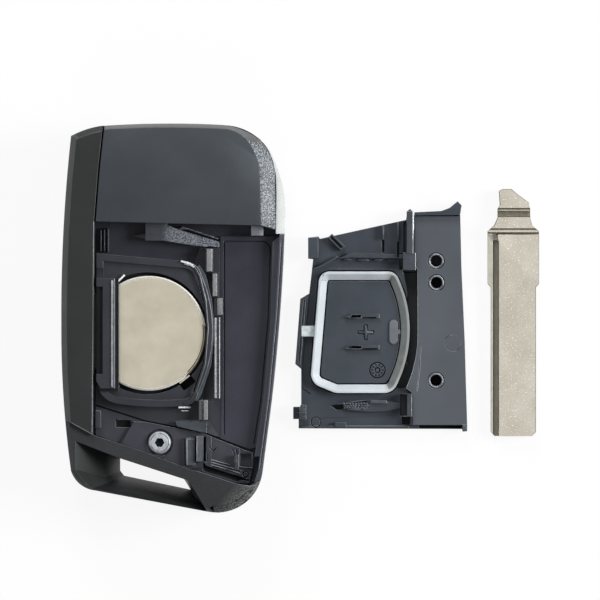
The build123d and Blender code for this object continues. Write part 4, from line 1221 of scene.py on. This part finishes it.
# painted light: tops of ribs, clips, tabs and collars are painted lighter
paintWhere(  # tops of the ribs, clips, tabs and collars
    batteryCover,
    ribAbs,
    lambda centre, normal: (centre.z > 3.5 and normal.z > 0.3 and centre.x < 20.2)
    or (centre.z > 2.3 and normal.z > 0.3 and (12.0 < centre.x < 17.3 or centre.x < 0.95))
    or (centre.z > 2.68 and normal.z > 0.3 and centre.x > 22.0 and centre.y < 12.0),
)
# painted shade on the low floor round the seal and in the top socket
paintWhere(  # the low floor round the seal, and the bottom of the top socket
    batteryCover,
    cavityAbs,
    lambda centre, normal: 0.15 < centre.z < 1.3
    and normal.z > -0.5
    and 3.0 < centre.x < 28.2
    and centre.y > -19.3,
)
# painted shade in the socket and slot bottoms
paintWhere(  # the bottoms of the two lower sockets and of the slot below the plate
    batteryCover,
    gapBlack,
    lambda centre, normal: 0.15 < centre.z < 1.2 and centre.x > 20.6 and -19.5 < centre.y < 9.0,
)
# painted highlights on edges towards the light and round the collars
paintWhere(  # edges towards the light, and all round the collars
    batteryCover,
    gleamAbs,
    lambda centre, normal: 0.5 < normal.z < 0.85
    and centre.z > 1.3
    and math.dist(centre.xy, wheelCentre) > 1.7
    and (normal.x + normal.y > 0.3 or 2.6 < centre.z < 2.8),
)
# painted shade in the mould wheel's lines
paintWhere(  # the mould wheel's lines
    batteryCover,
    gapBlack,
    lambda centre, normal: math.dist(centre.xy, wheelCentre) < 1.6 and centre.z < 1.96,
)
# painted glints on the brightest edges
paintWhere(  # the brightest edges: tall rib, collars and the plate's curved side
    batteryCover,
    glintAbs,
    lambda centre, normal: 0.5 < normal.z < 0.85
    and (
        (centre.z > 3.6 and normal.x > 0.4)
        or (2.66 < centre.z < 2.8 and centre.x > 22.0 and abs(normal.x + normal.y) > 0.45)
        or (2.2 < centre.z < 2.8 and 18.4 < centre.x < 21.6 and normal.x < -0.3)
    ),
)
print("battery cover ready")

# Seal of the cover, its tab and the vent pad
sealSettings = {"edge": 0.12, "innerSlope": 1.05, "padEdge": 0.12}
sealMiddle = grow(sealOutline, -0.75)
coverSeal = copyNode("cover_seal", "coverSealSkin")
bevelWhere(  # its upper inner edge
    coverSeal,
    sealSettings["innerSlope"],
    1,
    lambda a, b: a.z > 2.9 and b.z > 2.9 and within((a + b) / 2, sealMiddle),
)
softenEdges(coverSeal, sealSettings["edge"])
settle(coverSeal, sealSilicone, ["cover_seal"], "housing")
# painted shade on the inner slope of its right limb
paintWhere(  # the inner slope of its right limb
    coverSeal,
    sealShade,
    lambda centre, normal: normal.x < -0.3 and 0.3 < normal.z < 0.9 and centre.x > 10.0,
)
paintWhere(  # the top of its tab
    coverSeal,
    tabSilicone,
    lambda centre, normal: centre.x < 2.5 and 2.2 < centre.z < 2.45,
)

ventPad = copyNode("vent_pad", "ventPadSkin")
softenEdges(ventPad, sealSettings["padEdge"])
settle(ventPad, padMembrane, ["vent_pad"], "housing")
print("seal and pad ready")

# Key blade
bladeSettings = {
    "edge": 0.1,
    "sunk": [
        ("box", (37.2, 19.0), (6.6, 0.16), 2.3, 3.0),
        ("box", (37.2, 17.72), (6.6, 0.16), 2.3, 3.0),
        ("box", (37.2, 15.45), (9.4, 0.14), 2.4, 3.0),
        ("box", (37.2, 14.72), (9.4, 0.2), 2.3, 3.0),
        ("box", (34.05, -3.6), (0.92, 34.3), 1.25, 3.0),
    ],
}
keyBlade = copyNode("key_blade", "keyBladeSkin")
shape(keyBlade, sunk=bladeSettings["sunk"])
softenEdges(keyBlade, bladeSettings["edge"], 1)
settle(keyBlade, bladeNickelSilver, ["key_blade"], "housing")
paintWhere(  # the milled track beside the left edge
    keyBlade,
    trackNickelSilver,
    lambda centre, normal: 1.5 < centre.z < 2.0 and centre.x < 34.7,
)
# painted shade on the track's deep part
paintWhere(  # its deep part
    keyBlade,
    trackDark,
    lambda centre, normal: 0.8 < centre.z < 1.5 and 33.4 < centre.x < 34.8,
)
# painted shade on the rounded edges and the bottoms of the grooves
paintWhere(  # rounded edges, and the bottoms of the grooves
    keyBlade,
    bladeEdgeShade,
    lambda centre, normal: (0.3 < normal.z < 0.95 and centre.z > 2.0)
    or (normal.z > 0.9 and 2.2 < centre.z < 2.5),
)
print("blade ready")

# Floor: matt paint that shows nearly white to the camera and in reflections, and keeps the shadow
floorSettings = {"size": 3.0, "colour": "#f4f4f4", "white": "#ffffff", "share": 0.9}
deselectAll()
bpy.ops.mesh.primitive_plane_add(size=floorSettings["size"], location=(0.0, 0.0, 0.0))
floor = bpy.context.object
floor.name = "paleFloor"
floorPaint, tree = startMaterial("floorMattPaint")
paint = addNode(
    tree,
    "ShaderNodeBsdfPrincipled",
    inputs={"Base Color": linear(floorSettings["colour"]), "Roughness": 0.9},
)
glow = addNode(
    tree,
    "ShaderNodeEmission",
    inputs={"Color": linear(floorSettings["white"]), "Strength": 1.0},
)
path = addNode(tree, "ShaderNodeLightPath")
seen = addNode(
    tree,
    "ShaderNodeMath",
    {"operation": "ADD"},
    links={0: (path, "Is Camera Ray"), 1: (path, "Is Glossy Ray")},
)
seenThrough = addNode(
    tree,
    "ShaderNodeMath",
    {"operation": "ADD"},
    links={0: (seen, "Value"), 1: (path, "Is Transmission Ray")},
)
share = addNode(
    tree,
    "ShaderNodeMath",
    {"operation": "MULTIPLY"},
    inputs={1: floorSettings["share"]},
    links={0: (seenThrough, "Value")},
)
mixed = addNode(
    tree,
    "ShaderNodeMixShader",
    links={0: (share, "Value"), 1: (paint, "BSDF"), 2: (glow, "Emission")},
)
addNode(tree, "ShaderNodeOutputMaterial", links={"Surface": (mixed, "Shader")})
floor.data.materials.append(floorPaint)

# World and lamps: the strongest lamp stands on the right and the next one at the top
world = bpy.data.worlds.new("studioWorld")
bpy.context.scene.world = world
world.use_nodes = True
sky = world.node_tree.nodes["Background"]
sky.inputs["Color"].default_value = (1.0, 1.0, 1.0, 1.0)
sky.inputs["Strength"].default_value = 0.2

lampSettings = [
    ("rightSoftbox", (0.76, 0.10, 0.50), 0.34, 8.2),
    ("topSoftbox", (-0.15, 0.78, 0.54), 0.40, 4.6),
    ("leftSoftbox", (-0.78, 0.05, 0.60), 0.50, 0.8),
    ("frontSoftbox", (-0.2, -0.75, 0.60), 0.50, 1.2),
]
for lampName, place, size, power in lampSettings:
    deselectAll()
    bpy.ops.object.light_add(type="AREA", location=place)
    lamp = bpy.context.object
    lamp.name = lampName
    lamp.data.shape = "SQUARE"
    lamp.data.size = size
    lamp.data.energy = power
    lamp.rotation_euler = (-Vector(place)).to_track_quat("-Z", "Y").to_euler()

# Camera straight above, on a long lens, 104.6 mm across the picture
cameraSettings = {
    "centre": (-0.00016, 0.00307),
    "height": 2.0,
    "plane": 0.008,  # the level that the width is measured at
    "width": 0.10462,
    "sensor": 36.0,
}
deselectAll()
bpy.ops.object.camera_add(
    location=(*cameraSettings["centre"], cameraSettings["height"]),
    rotation=(0.0, 0.0, 0.0),
)
camera = bpy.context.object
camera.name = "photoCamera"
camera.data.sensor_width = cameraSettings["sensor"]
reach = cameraSettings["height"] - cameraSettings["plane"]
camera.data.lens = cameraSettings["sensor"] * reach / cameraSettings["width"]
camera.data.clip_start = 0.01
camera.data.clip_end = 20.0
bpy.context.scene.camera = camera
bpy.context.scene.view_settings.view_transform = "Standard"
print("stage, lamps and camera ready")
